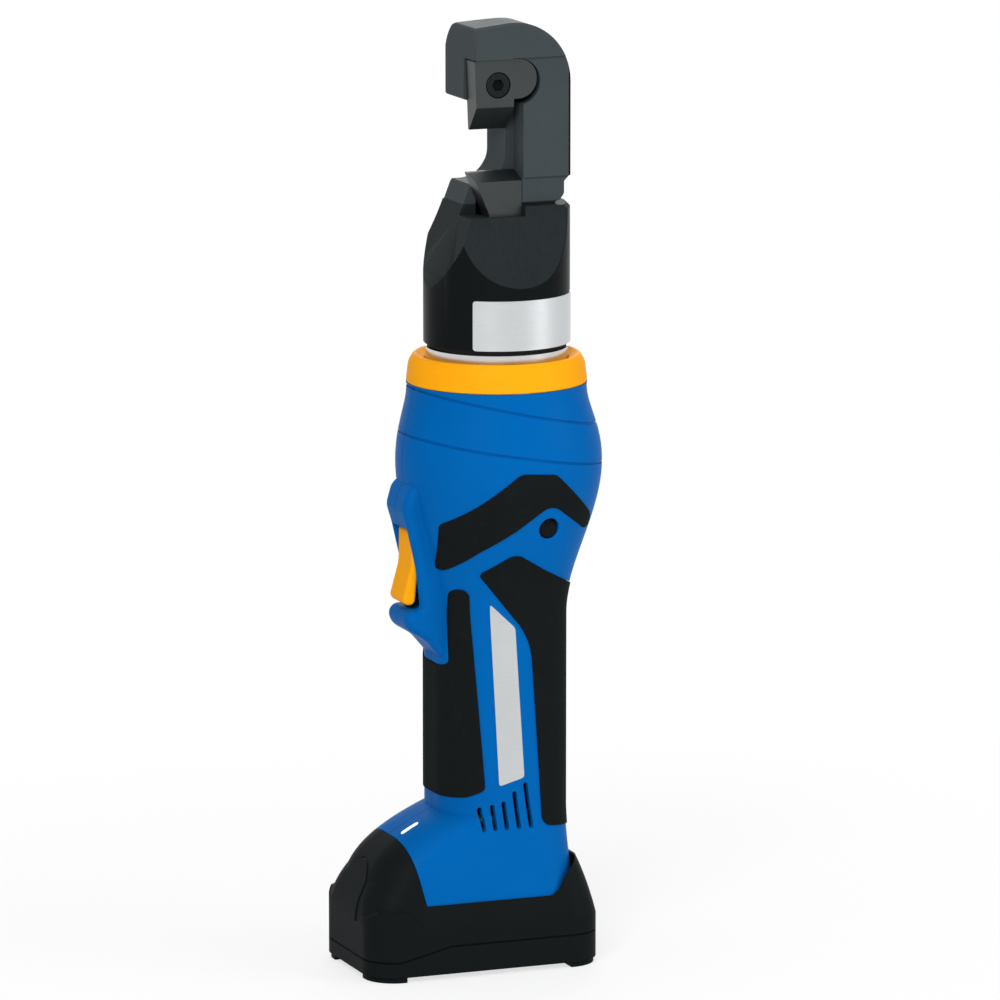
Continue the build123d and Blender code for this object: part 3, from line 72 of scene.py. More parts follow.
# The turned foot of the head, the shoulder above it, the pack's seam, which dips at the front, how
# a seam's dark line fades out on each side, and the bare ends of a cell
HEAD_LOW, HEAD_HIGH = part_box("head_frame")
AXIS_X = (HEAD_LOW.x + HEAD_HIGH.x) / 2
TURNED_R = (HEAD_HIGH.y - HEAD_LOW.y) / 2
SHOULDER_Z = HEAD_LOW.z + 51 * MM
SEAM_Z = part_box("pack_tray")[1].z
SEAM_DIP, SEAM_DIP_X, SEAM_DIP_RUN = 4.5 * MM, AXIS_X - 28 * MM, 19 * MM
HALVES_LINE, PACK_LINE = (0.06 * MM, 0.22 * MM), (0.2 * MM, 0.5 * MM)
CELL_BASE, CELL_CAP = 1.2 * MM, 2.6 * MM

# Meshes: merging distance, the attribute that holds wear, and angles of crisp edges in degrees
MERGE = 2e-6
WEAR = "wear"
CRISP, SHEET_CRISP, SCREW_CRISP = 38.0, 40.0, 35.0
FACE_WEIGHT = 60

# Bare plates: corners from the tool's axis in mm, turns in degrees, heights over the head's foot
HANDLE_PLATE = ((-11.2, 133.4), (-1.6, 124.2), (1.9, 69.8), (-7.7, 67.2))
HEAD_PLATE_TURN = (40.0, -84.0)
HEAD_PLATE_RISE = (1.6 * MM, 19.3 * MM)
HANDLE_PLATE_GRID, HEAD_PLATE_GRID = 2.2 * MM, 1.6 * MM
PLATE_SINK = 0.4
CORNER_STEPS = 5
NEAR_SIDE_Y = -0.2

# Screws: rings of a head as rise in head heights and how far each draws in, then the lobed recess
RECESS, LOBES, LOBE_DEPTH = 0.62, 6.0, 0.12
SCREW_RINGS = ((0.55, 1.0), (0.3, 0.93), (0.15, 0.84), (0.0, RECESS), (-0.6, 0.96))
SCREW_SIZES = ("Head Radius", "Head Height", "Shank Radius", "Shank Length")
SCREW_SHAPES = {
    "housing_screws": {"Head Height": 2.0 * MM, "Shank Radius": 1.5 * MM, "Shank Length": 16 * MM},
    "pack_screws": {"Head Height": 1.6 * MM, "Shank Radius": 1.3 * MM, "Shank Length": 16 * MM},
}

# Stage: each lamp's name, place, size and power, light from the sky, how white the floor is at the
# tool's foot, and from where to where it turns all white
LAMPS = (
    ("key", (-0.9, -1.3, 1.1), 1.0, 22.0),
    ("fill", (1.3, -1.0, 0.7), 1.2, 12.0),
    ("rim", (0.6, 1.5, 1.0), 1.0, 9.0),
    ("top", (0.0, 0.0, 1.8), 1.4, 10.0),
)
LAMP_AIM = Vector((0.0, 0.0, 0.17))
SKY_LIGHT = 0.16
WHITE = (1.0, 1.0, 1.0, 1.0)
SHADOW_WHITE = 0.7
SHADOW_REACH = (0.08, 0.42)

# Camera: angles round and up, metres away, lens and sensor in mm, aim to the right and up
VIEW_AZIMUTH, VIEW_ELEVATION, VIEW_DISTANCE = math.radians(-21.5), math.radians(10.5), 2.715
VIEW_LENS, VIEW_SENSOR, VIEW_END = 275.2, 36.0, 60.0
VIEW_RIGHT, VIEW_UP = 0.0105, 0.1670


# Sizes and colours

def length(name, description, default):
    """A length that a user may change."""
    return FloatProperty(
        name=name, description=description, default=default, min=0.0, unit="LENGTH", precision=5)


def colour(name, description, default):
    """A colour that a user may change."""
    return FloatVectorProperty(
        name=name, description=description, default=default, size=3, subtype="COLOR", min=0.0,
        max=1.0)


class CutterSizes(bpy.types.PropertyGroup):
    """Sizes of the dressing."""

    edge: length("Edge", "Rounding of crisp machined edges and of the grips", 0.00022)
    pack_edge: length("Pack edge", "Rounding of the pack's moulded edges", 0.0005)
    plate: length("Plate", "Thickness of the bare plates", 0.00025)
    plate_corner: length("Plate corner", "Corner radius of the bare plates", 0.0012)
    screw_head: length("Screw head", "Radius of a housing screw's head", 0.0028)
    pack_screw_head: length("Pack screw head", "Radius of a pack screw's head", 0.0024)
    floor: length("Floor", "Half the width of the floor", 9.0)


class CutterColours(bpy.types.PropertyGroup):
    """Colours of the finishes."""

    blue: colour("Blue", "Moulded housing", (0.0003, 0.113, 0.395))
    orange: colour("Orange", "Collar ring and trigger", (0.94, 0.38, 0.007))
    rubber: colour("Rubber", "Soft grips", (0.0062, 0.0078, 0.0078))
    oxide: colour("Oxide", "Black oxide on the head", (0.046, 0.056, 0.060))
    blade: colour("Blade", "Ground blades", (0.036, 0.042, 0.042))
    steel: colour("Steel", "Bright steel", (0.62, 0.62, 0.62))
    plate: colour("Plate", "Bare aluminium plates", (0.56, 0.58, 0.59))
    pack: colour("Pack", "Black plastic", (0.0072, 0.0094, 0.0100))
    lens: colour("Lens", "Status light", (0.86, 0.9, 0.92))
    floor: colour("Floor", "Floor and backdrop", (0.93, 0.93, 0.93))


# Finishes

class Wire:
    """A socket of a tree, with the arithmetic of its values."""

    def __init__(self, tree, socket):
        self.tree = tree
        self.socket = socket

    def out(self, name):
        """Another output of the same node."""
        return Wire(self.tree, self.socket.node.outputs[name])

    def maths(self, operation, first, second=0.0):
        return self.tree.add("ShaderNodeMath", {"operation": operation}, {0: first, 1: second})

    def __add__(self, other):
        return self.maths("ADD", self, other)

    def __sub__(self, other):
        return self.maths("SUBTRACT", self, other)

    def __mul__(self, other):
        return self.maths("MULTIPLY", self, other)

    def __pow__(self, other):
        return self.maths("POWER", self, other)

    def __radd__(self, other):
        return self.maths("ADD", other, self)

    def __rsub__(self, other):
        return self.maths("SUBTRACT", other, self)

    def __rmul__(self, other):
        return self.maths("MULTIPLY", other, self)

    def __abs__(self):
        return self.maths("ABSOLUTE", self)

    def above(self, limit):
        return self.maths("GREATER_THAN", self, limit)

    def below(self, limit):
        return self.maths("LESS_THAN", self, limit)

    def clamped(self, high):
        """0 up to 0, 1 from high, straight between them."""
        return self.tree.add("ShaderNodeMapRange", None, {"Value": self, "From Max": high})

    def between(self, low, high):
        """0 at low, 1 at high, smooth between them."""
        return self.tree.add(
            "ShaderNodeMapRange", {"interpolation_type": "SMOOTHSTEP"},
            {"Value": self, "From Min": low, "From Max": high})


class Tree:
    """A node tree that expressions are written into."""

    def __init__(self, group):
        self.group = group

    def plug(self, value, socket):
        """Links a wire to a socket, or sets the socket's own value."""
        if isinstance(value, Wire):
            self.group.links.new(value.socket, socket)
        else:
            socket.default_value = value

    def add(self, kind, settings=None, sockets=None, out=0):
        """Adds a node with its settings and its sockets' values or wires, and gives one output."""
        node = self.group.nodes.new(kind)
        for key, value in (settings or {}).items():
            setattr(node, key, value)
        for key, value in (sockets or {}).items():
            self.plug(value, node.inputs[key])
        return Wire(self, node.outputs[out])

    def shown(self):
        """1 for the rays that show the backdrop: straight, mirrored or through something clear."""
        straight = self.add("ShaderNodeLightPath", out="Is Camera Ray")
        mirrored, through = straight.out("Is Glossy Ray"), straight.out("Is Transmission Ray")
        return (straight + mirrored + through).clamped(1.0)


class Finish(Tree):
    """One procedural material, written as expressions on Object coordinates."""

    MIX_FACTOR, MIX_FIRST, MIX_SECOND, MIX_COLOUR = 0, 6, 7, 2

    def __init__(self, name, **constants):
        self.material = bpy.data.materials.new(name)
        self.material.use_nodes = True
        super().__init__(self.material.node_tree)
        self.shader = self.group.nodes["Principled BSDF"]
        self.place = self.add("ShaderNodeTexCoord", out="Object")
        self.set(**constants)

    def set(self, **sockets):
        """Plugs values into the shader, each under its socket's name in small letters."""
        for key, value in sockets.items():
            name = key.replace("_", " ").title().replace("Ior", "IOR")
            self.plug(value, self.shader.inputs[name])

    def axes(self):
        x = self.add("ShaderNodeSeparateXYZ", None, {0: self.place})
        return x, x.out("Y"), x.out("Z")

    def stretched(self, scale):
        return self.add("ShaderNodeMapping", None, {"Vector": self.place, "Scale": scale})

    def noise(self, scale, detail=2.0, vector=None):
        return self.add("ShaderNodeTexNoise", None, {
            "Vector": vector or self.place, "Scale": scale, "Detail": detail})

    def cells(self, scale):
        return self.add("ShaderNodeTexVoronoi", None, {
            "Vector": self.place, "Scale": scale}, out="Distance")

    def mix(self, amount, first, second):
        return self.add("ShaderNodeMix", {"data_type": "RGBA"}, {
            self.MIX_FACTOR: amount, self.MIX_FIRST: rgba(first), self.MIX_SECOND: rgba(second)},
            out=self.MIX_COLOUR)

    def bump(self, height, strength, distance):
        self.set(normal=self.add("ShaderNodeBump", None, {
            "Height": height, "Strength": strength, "Distance": distance}))

    def worn_edges(self):
        """1 on the small rounds along crisp edges, 0 on open faces."""
        return self.add("ShaderNodeAttribute", {"attribute_name": WEAR}, out="Fac")


def rgba(value):
    """A colour with its alpha; a wire stays as it is."""
    return value if isinstance(value, Wire) else (*value, 1.0)


def shade(value, factor):
    """A colour made lighter or darker."""
    return tuple(min(1.0, channel * factor) for channel in value)


def moulded(name, base, roughness, grain, seam=None):
    """Spark-eroded plastic with flow clouds, a slightly polished skin and the seam of its shells."""
    finish = Finish(name, ior=1.5, specular_ior_level=0.015)
    cloud = finish.noise(42.0, 3.0)
    fleck = finish.noise(grain, 2.0)
    smear = finish.noise(14.0, 2.0, finish.stretched((1.0, 1.0, 0.35)))
    tone = finish.mix(cloud, shade(base, 0.93), shade(base, 1.06))
    rough = roughness + 0.10 * (cloud - 0.5) + 0.10 * (smear - 0.5) + 0.05 * (fleck - 0.5)
    if seam:
        line = seam(*finish.axes())
        tone = finish.mix(line * 0.8, tone, shade(base, 0.25))
        rough = rough + line * 0.3
    finish.set(base_color=tone, roughness=rough)
    finish.bump(fleck, 0.22, 0.00006)
    return finish.material


def halves_seam(x, y, z):
    """1 on the line between the two halves of the housing."""
    return 1 - abs(y).between(*HALVES_LINE)


def pack_seam(x, y, z):
    """1 on the line between the two shells of the pack, which dips towards the front."""
    dip = (SEAM_DIP_X - x).clamped(SEAM_DIP_RUN)
    return 1 - abs(z - SEAM_Z + SEAM_DIP * dip).between(*PACK_LINE)


def rubbery(name, base):
    """Soft-touch rubber with a fine pebble."""
    finish = Finish(name, ior=1.45, specular_ior_level=0.022)
    pebble = finish.cells(1250.0)
    cloud = finish.noise(55.0, 3.0)
    dust = finish.noise(240.0, 4.0).between(0.52, 0.78)
    tone = finish.mix(0.35 * cloud + 0.25 * dust, base, shade(base, 2.1))
    finish.set(base_color=tone, roughness=0.62 + 0.14 * cloud + 0.08 * dust)
    finish.bump(pebble, 0.35, 0.00009)
    return finish.material


def oxidised(name, base):
    """Black oxide on a milled part, rubbed bright along its edges, darker where it was turned."""
    finish = Finish(name, ior=1.6, specular_ior_level=0.005)
    blotch = finish.noise(70.0, 4.0)
    cutter = finish.noise(900.0, 2.0, finish.stretched((1.0, 1.0, 0.06)))
    grain = finish.noise(3400.0, 2.0)
    worn = finish.worn_edges() * finish.noise(260.0, 3.0).between(0.30, 0.62)
    x, y, z = finish.axes()
    reach = ((x - AXIS_X) * (x - AXIS_X) + y * y) ** 0.5
    lathe = reach.between(TURNED_R - 0.0003, TURNED_R - 0.0001)
    # Darker below the shoulder, with painted shade on the shoulder's upward top face: the limit sits
    # just above that face, so it loses the glint the lamps give it.
    low = 1 - z.between(SHOULDER_Z + 0.0001, SHOULDER_Z + 0.0005)
    tone = finish.mix(blotch, shade(base, 0.88), shade(base, 1.14))
    tone = finish.mix(low * 0.74, tone, shade(base, 0.1))
    tone = finish.mix(0.08 * cutter, tone, shade(base, 2.0))
    tone = finish.mix(lathe, tone, shade(base, 0.16))
    tone = finish.mix(worn * 0.45, tone, shade(base, 3.0))
    rough = 0.50 + 0.12 * (blotch - 0.5) + 0.08 * (cutter - 0.5) - 0.12 * worn - 0.22 * lathe
    finish.set(base_color=tone, metallic=0.2 + 0.3 * worn, roughness=rough)
    finish.bump(0.6 * grain + 0.4 * cutter, 0.16, 0.00005)
    return finish.material


def ground(name, base, stretch):
    """Tool steel with the lines of its grinding."""
    finish = Finish(name, ior=1.8)
    lines = finish.noise(2200.0, 2.0, finish.stretched(stretch))
    blotch = finish.noise(110.0, 3.0)
    worn = finish.worn_edges()
    tone = finish.mix(blotch, shade(base, 0.86), shade(base, 1.18))
    tone = finish.mix(0.35 * lines, tone, shade(base, 1.5))
    tone = finish.mix(worn * 0.45, tone, shade(base, 3.0))
    rough = 0.40 + 0.12 * (lines - 0.5) + 0.08 * (blotch - 0.5)
    finish.set(base_color=tone, metallic=0.8 + 0.1 * lines, roughness=rough)
    finish.bump(lines, 0.12, 0.00004)
    return finish.material


def turned(name, base, roughness):
    """Bright metal with fine rings from the lathe."""
    finish = Finish(name, ior=2.0)
    rings = finish.noise(5200.0, 1.0, finish.stretched((0.02, 0.02, 1.0)))
    blotch = finish.noise(90.0, 3.0)
    tone = finish.mix(0.6 * rings + 0.4 * blotch, shade(base, 0.84), shade(base, 1.12))
    rough = roughness + 0.12 * (rings - 0.5) + 0.08 * (blotch - 0.5)
    finish.set(base_color=tone, metallic=1.0, roughness=rough)
    finish.bump(rings, 0.10, 0.00003)
    return finish.material


def brushed(name, base):
    """Thin bare aluminium plate, brushed along its length."""
    finish = Finish(name, ior=1.9)
    lines = finish.noise(2600.0, 2.0, finish.stretched((0.05, 0.05, 1.0)))
    cloud = finish.noise(30.0, 2.0)
    tone = finish.mix(0.5 * lines + 0.5 * cloud, shade(base, 0.86), shade(base, 1.10))
    rough = 0.34 + 0.14 * (lines - 0.5) + 0.10 * (cloud - 0.5)
    finish.set(base_color=tone, metallic=0.85, roughness=rough)
    finish.bump(lines, 0.08, 0.00003)
    return finish.material


def glowing(name, base):
    """Milky lens of the status light."""
    finish = Finish(name, ior=1.49, emission_strength=0.35)
    cloud = finish.noise(900.0, 2.0)
    tone = finish.mix(cloud, shade(base, 0.92), base)
    finish.set(base_color=tone, roughness=0.16 + 0.1 * cloud, emission_color=tone)
    return finish.material


def boarded(name):
    """Solder mask with faint copper tracks under it."""
    finish = Finish(name, ior=1.5)
    lane = finish.axes()[0] * 620.0 + finish.noise(160.0, 1.0)
    track = abs(lane.maths("FRACT", lane) - 0.5).below(0.16)
    mask = track * finish.noise(130.0, 1.0).above(0.5)
    tone = finish.mix(mask, (0.006, 0.06, 0.025), (0.02, 0.14, 0.05))
    finish.set(base_color=tone, roughness=0.34 + 0.1 * finish.noise(400.0, 2.0))
    return finish.material


def sleeved(name):
    """Shrink sleeve of a cell, with bare steel at its ends."""
    finish = Finish(name, ior=1.5)
    x = finish.axes()[0]
    low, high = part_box("pack_cells")
    ends = (x - low.x).below(CELL_BASE) + (high.x - x).below(CELL_CAP)
    cloud = finish.noise(120.0, 2.0)
    tone = finish.mix(cloud, (0.02, 0.12, 0.11), (0.03, 0.17, 0.15))
    tone = finish.mix(ends, tone, (0.55, 0.55, 0.54))
    finish.set(base_color=tone, metallic=ends, roughness=0.3 + 0.1 * cloud)
    return finish.material


def finishes(colours):
    """Every finish of the tool, by the record's slot."""
    return {
        "blue_plastic": moulded("blue_plastic", colours.blue, 0.40, 2300.0, halves_seam),
        "orange_plastic": moulded("orange_plastic", colours.orange, 0.42, 2600.0),
        "soft_rubber": rubbery("soft_rubber", colours.rubber),
        "black_oxide_steel": oxidised("black_oxide_steel", colours.oxide),
        "blade_steel": ground("blade_steel", colours.blade, (1.0, 1.0, 0.05)),
        # Screws in a darker oxide: partly their own near-black, partly painted shade standing in for
        # the shade in their counterbores.
        "dark_screw": oxidised("dark_screw", shade(colours.oxide, 0.3)),
        "bright_steel": turned("bright_steel", colours.steel, 0.24),
        "bare_aluminium": brushed("bare_aluminium", colours.plate),
        "black_plastic": moulded("black_plastic", colours.pack, 0.46, 1900.0, pack_seam),
        "white_lens": glowing("white_lens", colours.lens),
        "circuit_board": boarded("circuit_board"),
        "cell_can": sleeved("cell_can"),
        "copper": turned("copper", (0.80, 0.46, 0.22), 0.3),
    }


FINISH = {}


def finish_of(slot):
    """The finish of a slot; all of them are made when the first is asked for."""
    if not FINISH:
        FINISH.update(finishes(bpy.context.scene.cutter_colours))
    return FINISH[slot]


# Shared makers

def paint(*nodes):
    """Gives CAD nodes that stay as they are the finish of their slot."""
    for node in nodes:
        materials = frame["nodes"][node].data.materials
        materials.clear()
        materials.append(finish_of(SLOT_OF[node]))


def settle(name, mesh, body, slot, replaced=()):
    """Links a finished mesh as a piece that rides on a body."""
    mesh.name = name
    if not mesh.materials:
        mesh.materials.append(finish_of(slot))
    piece = bpy.data.objects.new(name, mesh)
    bpy.context.scene.collection.objects.link(piece)
    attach(piece, body)
    if replaced:
        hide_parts(*replaced)
    return piece


def soften(work, degrees):
    """Makes all faces smooth, and keeps edges sharp from an angle on."""
    for face in work.faces:
        face.smooth = True
    for edge in work.edges:
        edge.smooth = edge.calc_face_angle(0.0) < math.radians(degrees)


def dress(node, edge=0.0):
    """A merged copy of a CAD node: curved faces run smooth, crisp edges get a small worn round."""
    mesh = frame["nodes"][node].data.copy()
    mesh.materials.clear()
    for name in ("custom_normal", "sharp_face", "sharp_edge"):
        if name in mesh.attributes:
            mesh.attributes.remove(mesh.attributes[name])
    work = bmesh.new()
    work.from_mesh(mesh)
    worn = work.loops.layers.float.new(WEAR)
    bmesh.ops.remove_doubles(work, verts=work.verts, dist=MERGE)
    bmesh.ops.dissolve_degenerate(work, edges=work.edges, dist=MERGE)
    limit = math.radians(CRISP)
    crisp = [e for e in work.edges if e.is_manifold and e.calc_face_angle(0.0) >= limit]
    if edge:
        rounds = bmesh.ops.bevel(
            work, geom=crisp, offset=edge, offset_type="OFFSET", segments=2, profile=0.5,
            affect="EDGES", clamp_overlap=True)
        for face in rounds["faces"]:
            for loop in face.loops:
                loop[worn] = 1.0
    else:
        for each in crisp:
            each.smooth = False
    for face in work.faces:
        face.smooth = True
    work.to_mesh(mesh)
    work.free()
    piece = settle(node + "_skin", mesh, BODY_OF[node], SLOT_OF[node], replaced=(node,))
    even = piece.modifiers.new("Even", "WEIGHTED_NORMAL")
    even.keep_sharp = True
    even.weight = FACE_WEIGHT
    return piece


def rounded_corners(points, radius):
    """A flat outline with each corner replaced by a short curve."""
    out = []
    for i, corner in enumerate(points):
        before = (points[i - 1] - corner).normalized() * radius
        after = (points[(i + 1) % len(points)] - corner).normalized() * radius
        for k in range(CORNER_STEPS + 1):
            t = k / CORNER_STEPS
            out.append(corner + before * (1 - t) ** 2 + after * t ** 2)
    return out


def conform(outline, place, thickness, spacing):
    """A thin sheet inside a flat outline, each point put on the surface by place(u, v, lift)."""
    work = bmesh.new()
    work.faces.new([work.verts.new((p.x, p.y, 0.0)) for p in outline])
    low = Vector((min(p.x for p in outline), min(p.y for p in outline)))
    high = Vector((max(p.x for p in outline), max(p.y for p in outline)))
    for axis in (0, 1):
        count = max(1, int((high[axis] - low[axis]) / spacing))
        for k in range(1, count):
            cut = Vector((0.0, 0.0, 0.0))
            cut[axis] = low[axis] + (high[axis] - low[axis]) * k / count
            normal = Vector((0.0, 0.0, 0.0))
            normal[axis] = 1.0
            geometry = work.verts[:] + work.edges[:] + work.faces[:]
            bmesh.ops.bisect_plane(work, geom=geometry, plane_co=cut, plane_no=normal)
    bmesh.ops.triangulate(work, faces=[f for f in work.faces if len(f.verts) > 4])
    flat = [vert.co.copy() for vert in work.verts]
    lower = {vert: work.verts.new(vert.co) for vert in work.verts[:]}
    for face in work.faces[:]:
        work.faces.new([lower[vert] for vert in reversed(face.verts)])
    for edge in [e for e in work.edges if len(e.link_faces) == 1 and e.verts[0] in lower]:
        a, b = edge.verts
        work.faces.new([a, b, lower[b], lower[a]])
    for vert, co in zip(list(lower), flat):
        vert.co = place(co.x, co.y, thickness)
        lower[vert].co = place(co.x, co.y, -thickness * PLATE_SINK)
    bmesh.ops.recalc_face_normals(work, faces=work.faces)
    soften(work, SHEET_CRISP)
    mesh = bpy.data.meshes.new("sheet")
    work.to_mesh(mesh)
    work.free()
    return mesh


def screw_tree(name, material, turn):
    """A tree of screws with a pan head and a six-lobed recess, one on each seat, and its sizes."""
    group = bpy.data.node_groups.new(name, "GeometryNodeTree")
    group.interface.new_socket("Seats", in_out="INPUT", socket_type="NodeSocketGeometry")
    group.interface.new_socket("Geometry", in_out="OUTPUT", socket_type="NodeSocketGeometry")
    sizes = {}
    for key in SCREW_SIZES:
        socket = group.interface.new_socket(key, in_out="INPUT", socket_type="NodeSocketFloat")
        socket.default_value = MM
        sizes[key] = socket.identifier
    made = Tree(group)
    seats = made.add("NodeGroupInput", out="Seats")
    radius, height, shank_radius, shank_length = (seats.out(key) for key in SCREW_SIZES)
    head = made.add(
        "GeometryNodeMeshCircle", {"fill_type": "NGON"}, {"Vertices": 36, "Radius": radius})
    top = True
    for rise, scale in SCREW_RINGS:
        head = made.add("GeometryNodeExtrudeMesh", None, {
            "Mesh": head, "Selection": top, "Offset Scale": height * rise, "Individual": False})
        top = head.out("Top")
        if scale == RECESS:
            head = lobed(made, head, top, scale)
        elif scale != 1.0:
            head = made.add("GeometryNodeScaleElements", None, {
                "Geometry": head, "Selection": top, "Scale": scale})
    shank = made.add("GeometryNodeMeshCylinder", None, {
        "Vertices": 20, "Radius": shank_radius, "Depth": shank_length})
    drop = made.add("ShaderNodeCombineXYZ", None, {"Z": shank_length * -0.5})
    shank = made.add("GeometryNodeTransform", None, {"Geometry": shank, "Translation": drop})
    screw = made.add("GeometryNodeJoinGeometry", None, {0: head})
    made.plug(shank, screw.socket.node.inputs[0])
    points = made.add("GeometryNodeMeshToPoints", None, {"Mesh": seats})
    copies = made.add("GeometryNodeInstanceOnPoints", None, {
        "Points": points, "Instance": screw, "Rotation": turn})
    real = made.add("GeometryNodeRealizeInstances", None, {"Geometry": copies})
    coated = made.add("GeometryNodeSetMaterial", None, {"Geometry": real, "Material": material})
    made.plug(coated, group.nodes.new("NodeGroupOutput").inputs[0])
    return group, sizes


def lobed(made, mesh, top, scale):
    """Draws the top face in to a six-lobed outline."""
    where = made.add("GeometryNodeInputPosition")
    x = made.add("ShaderNodeSeparateXYZ", None, {0: where})
    angle = x.maths("ARCTAN2", x.out("Y"), x)
    share = x.maths("COSINE", angle * LOBES) * LOBE_DEPTH + scale
    spread = made.add("ShaderNodeCombineXYZ", None, {"X": share, "Y": share, "Z": 1.0})
    moved = made.add("ShaderNodeVectorMath", {"operation": "MULTIPLY"}, {0: where, 1: spread})
    return made.add("GeometryNodeSetPosition", None, {
        "Geometry": mesh, "Selection": top, "Position": moved})


def screws(node, seats, turn, head_radius):
    """Replaces a node of like screws by screws grown on its seats."""
    seat_mesh = bpy.data.meshes.new(node + "_seats")
    seat_mesh.from_pydata(seats, [], [])
    holder = bpy.data.objects.new(node + "_seats", seat_mesh)
    bpy.context.scene.collection.objects.link(holder)
    tree, sizes = screw_tree(node + "_tree", finish_of(SLOT_OF[node]), turn)
    grow = holder.modifiers.new("Grow", "NODES")
    grow.node_group = tree
    for key, value in {"Head Radius": head_radius, **SCREW_SHAPES[node]}.items():
        grow[sizes[key]] = value
    bpy.context.view_layer.update()
    graph = bpy.context.evaluated_depsgraph_get()
    mesh = bpy.data.meshes.new_from_object(holder.evaluated_get(graph))
    holder.modifiers.remove(grow)
    bpy.data.objects.remove(holder)
    work = bmesh.new()
    work.from_mesh(mesh)
    soften(work, SCREW_CRISP)
    work.to_mesh(mesh)
    work.free()
    return settle(node + "_set", mesh, BODY_OF[node], SLOT_OF[node], replaced=(node,))


def islands(node):
    """Lowest and highest corner of each loose part of a CAD node."""
    work = bmesh.new()
    work.from_mesh(frame["nodes"][node].data)
    bmesh.ops.remove_doubles(work, verts=work.verts, dist=MERGE)
    left = set(work.verts)
    boxes = []
    while left:
        start = left.pop()
        group, front = {start}, [start]
        while front:
            vert = front.pop()
            for edge in vert.link_edges:
                other = edge.other_vert(vert)
                if other in left:
                    left.discard(other)
                    group.add(other)
                    front.append(other)
        low = Vector([min(v.co[i] for v in group) for i in range(3)])
        high = Vector([max(v.co[i] for v in group) for i in range(3)])
        boxes.append((low, high))
    work.free()
    return sorted(boxes, key=lambda pair: tuple(round(c, 5) for c in pair[0]))


# Operators

class CUTTER_OT_housing(bpy.types.Operator):
    """Dress the two moulded halves and the status light."""

    bl_idname = "cutter.housing"
    bl_label = "Housing"

    def execute(self, context):
        for node in ("housing_left", "housing_right", "status_light"):
            dress(node)
        return {"FINISHED"}


class CUTTER_OT_grips(bpy.types.Operator):
    """Dress the soft grips."""

    bl_idname = "cutter.grips"
    bl_label = "Soft grips"

    def execute(self, context):
        for node in SLOT_OF:
            if node.endswith(("grip_left", "grip_right")):
                dress(node, context.scene.cutter_sizes.edge)
        return {"FINISHED"}


class CUTTER_OT_collar(bpy.types.Operator):
    """Dress the collar ring, the barrel and its retaining ring."""

    bl_idname = "cutter.collar"
    bl_label = "Collar"

    def execute(self, context):
        dress("collar_ring")
        dress("cylinder_barrel")
        paint("head_retaining_ring")
        return {"FINISHED"}


class CUTTER_OT_head(bpy.types.Operator):
    """Dress the cutting head, its blades and their screws."""

    bl_idname = "cutter.head"
    bl_label = "Cutting head"

    def execute(self, context):
        for node in ("head_frame", "fixed_blade", "moving_blade", "fixed_blade_screw",
                     "moving_blade_screw"):
            dress(node, context.scene.cutter_sizes.edge)
        return {"FINISHED"}


class CUTTER_OT_ram(bpy.types.Operator):
    """Finish the piston, its seal and the return spring; the spring gets its own mesh but is not
    shortened with the stroke here.
    """

    bl_idname = "cutter.ram"
    bl_label = "Ram"

    def execute(self, context):
        dress("piston")
        paint("piston_seal")
        spring = dress("return_spring")
        low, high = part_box("return_spring")
        stroke = next(row for row in BEHAVIOUR["joints"] if row["name"] == "ram_stroke")
        keep = 1 - stroke["range_m"][1] / (high.z - low.z)
        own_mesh(spring)
        return {"FINISHED"}


class CUTTER_OT_trigger(bpy.types.Operator):
    """Dress the trigger with its pin, spring and switch, and the release button."""

    bl_idname = "cutter.trigger"
    bl_label = "Trigger"

    def execute(self, context):
        dress("trigger")
        dress("release_button")
        paint("trigger_pin", "trigger_spring", "trigger_switch")
        return {"FINISHED"}


class CUTTER_OT_drive(bpy.types.Operator):
    """Finish the motor and its gears."""

    bl_idname = "cutter.drive"
    bl_label = "Drive"

    def execute(self, context):
        paint("motor_can", "motor_magnets", "motor_end_cap", "rotor", "sun_gear", "planet_gear_1",
              "planet_gear_2", "planet_gear_3", "gear_case", "carrier_bearing", "eccentric_carrier",
              "eccentric_bearing")
        return {"FINISHED"}


class CUTTER_OT_pump(bpy.types.Operator):
    """Finish the pump, its valves and the oil bladder."""

    bl_idname = "cutter.pump"
    bl_label = "Pump"

    def execute(self, context):
        paint("pump_block", "pump_plunger", "plunger_plug", "delivery_valve", "oil_bladder")
        return {"FINISHED"}


class CUTTER_OT_electronics(bpy.types.Operator):
    """Finish the control board and the contact block."""

    bl_idname = "cutter.electronics"
    bl_label = "Electronics"

    def execute(self, context):
        paint("control_board", "contact_block")
        return {"FINISHED"}


class CUTTER_OT_pack(bpy.types.Operator):
    """Dress the battery pack."""

    bl_idname = "cutter.pack"
    bl_label = "Battery pack"

    def execute(self, context):
        for node in ("pack_top_shell", "pack_tray", "pack_latch"):
            dress(node, context.scene.cutter_sizes.pack_edge)
        paint("pack_cells", "pack_board", "pack_terminals")
        return {"FINISHED"}


class CUTTER_OT_screws(bpy.types.Operator):
    """Grow the housing screws and the pack screws on their seats."""

    bl_idname = "cutter.screws"
    bl_label = "Screws"

    def execute(self, context):
        sizes = context.scene.cutter_sizes
        sunk = SCREW_SHAPES["housing_screws"]["Head Height"]
        seats = [((low.x + high.x) / 2, high.y - sunk, (low.z + high.z) / 2)
                 for low, high in islands("housing_screws")]
        screws("housing_screws", seats, (-math.pi / 2, 0.0, 0.0), sizes.screw_head)
        sunk = SCREW_SHAPES["pack_screws"]["Head Height"]
        seats = [((low.x + high.x) / 2, (low.y + high.y) / 2, low.z + sunk)
                 for low, high in islands("pack_screws")]
        screws("pack_screws", seats, (math.pi, 0.0, 0.0), sizes.pack_screw_head)
        return {"FINISHED"}


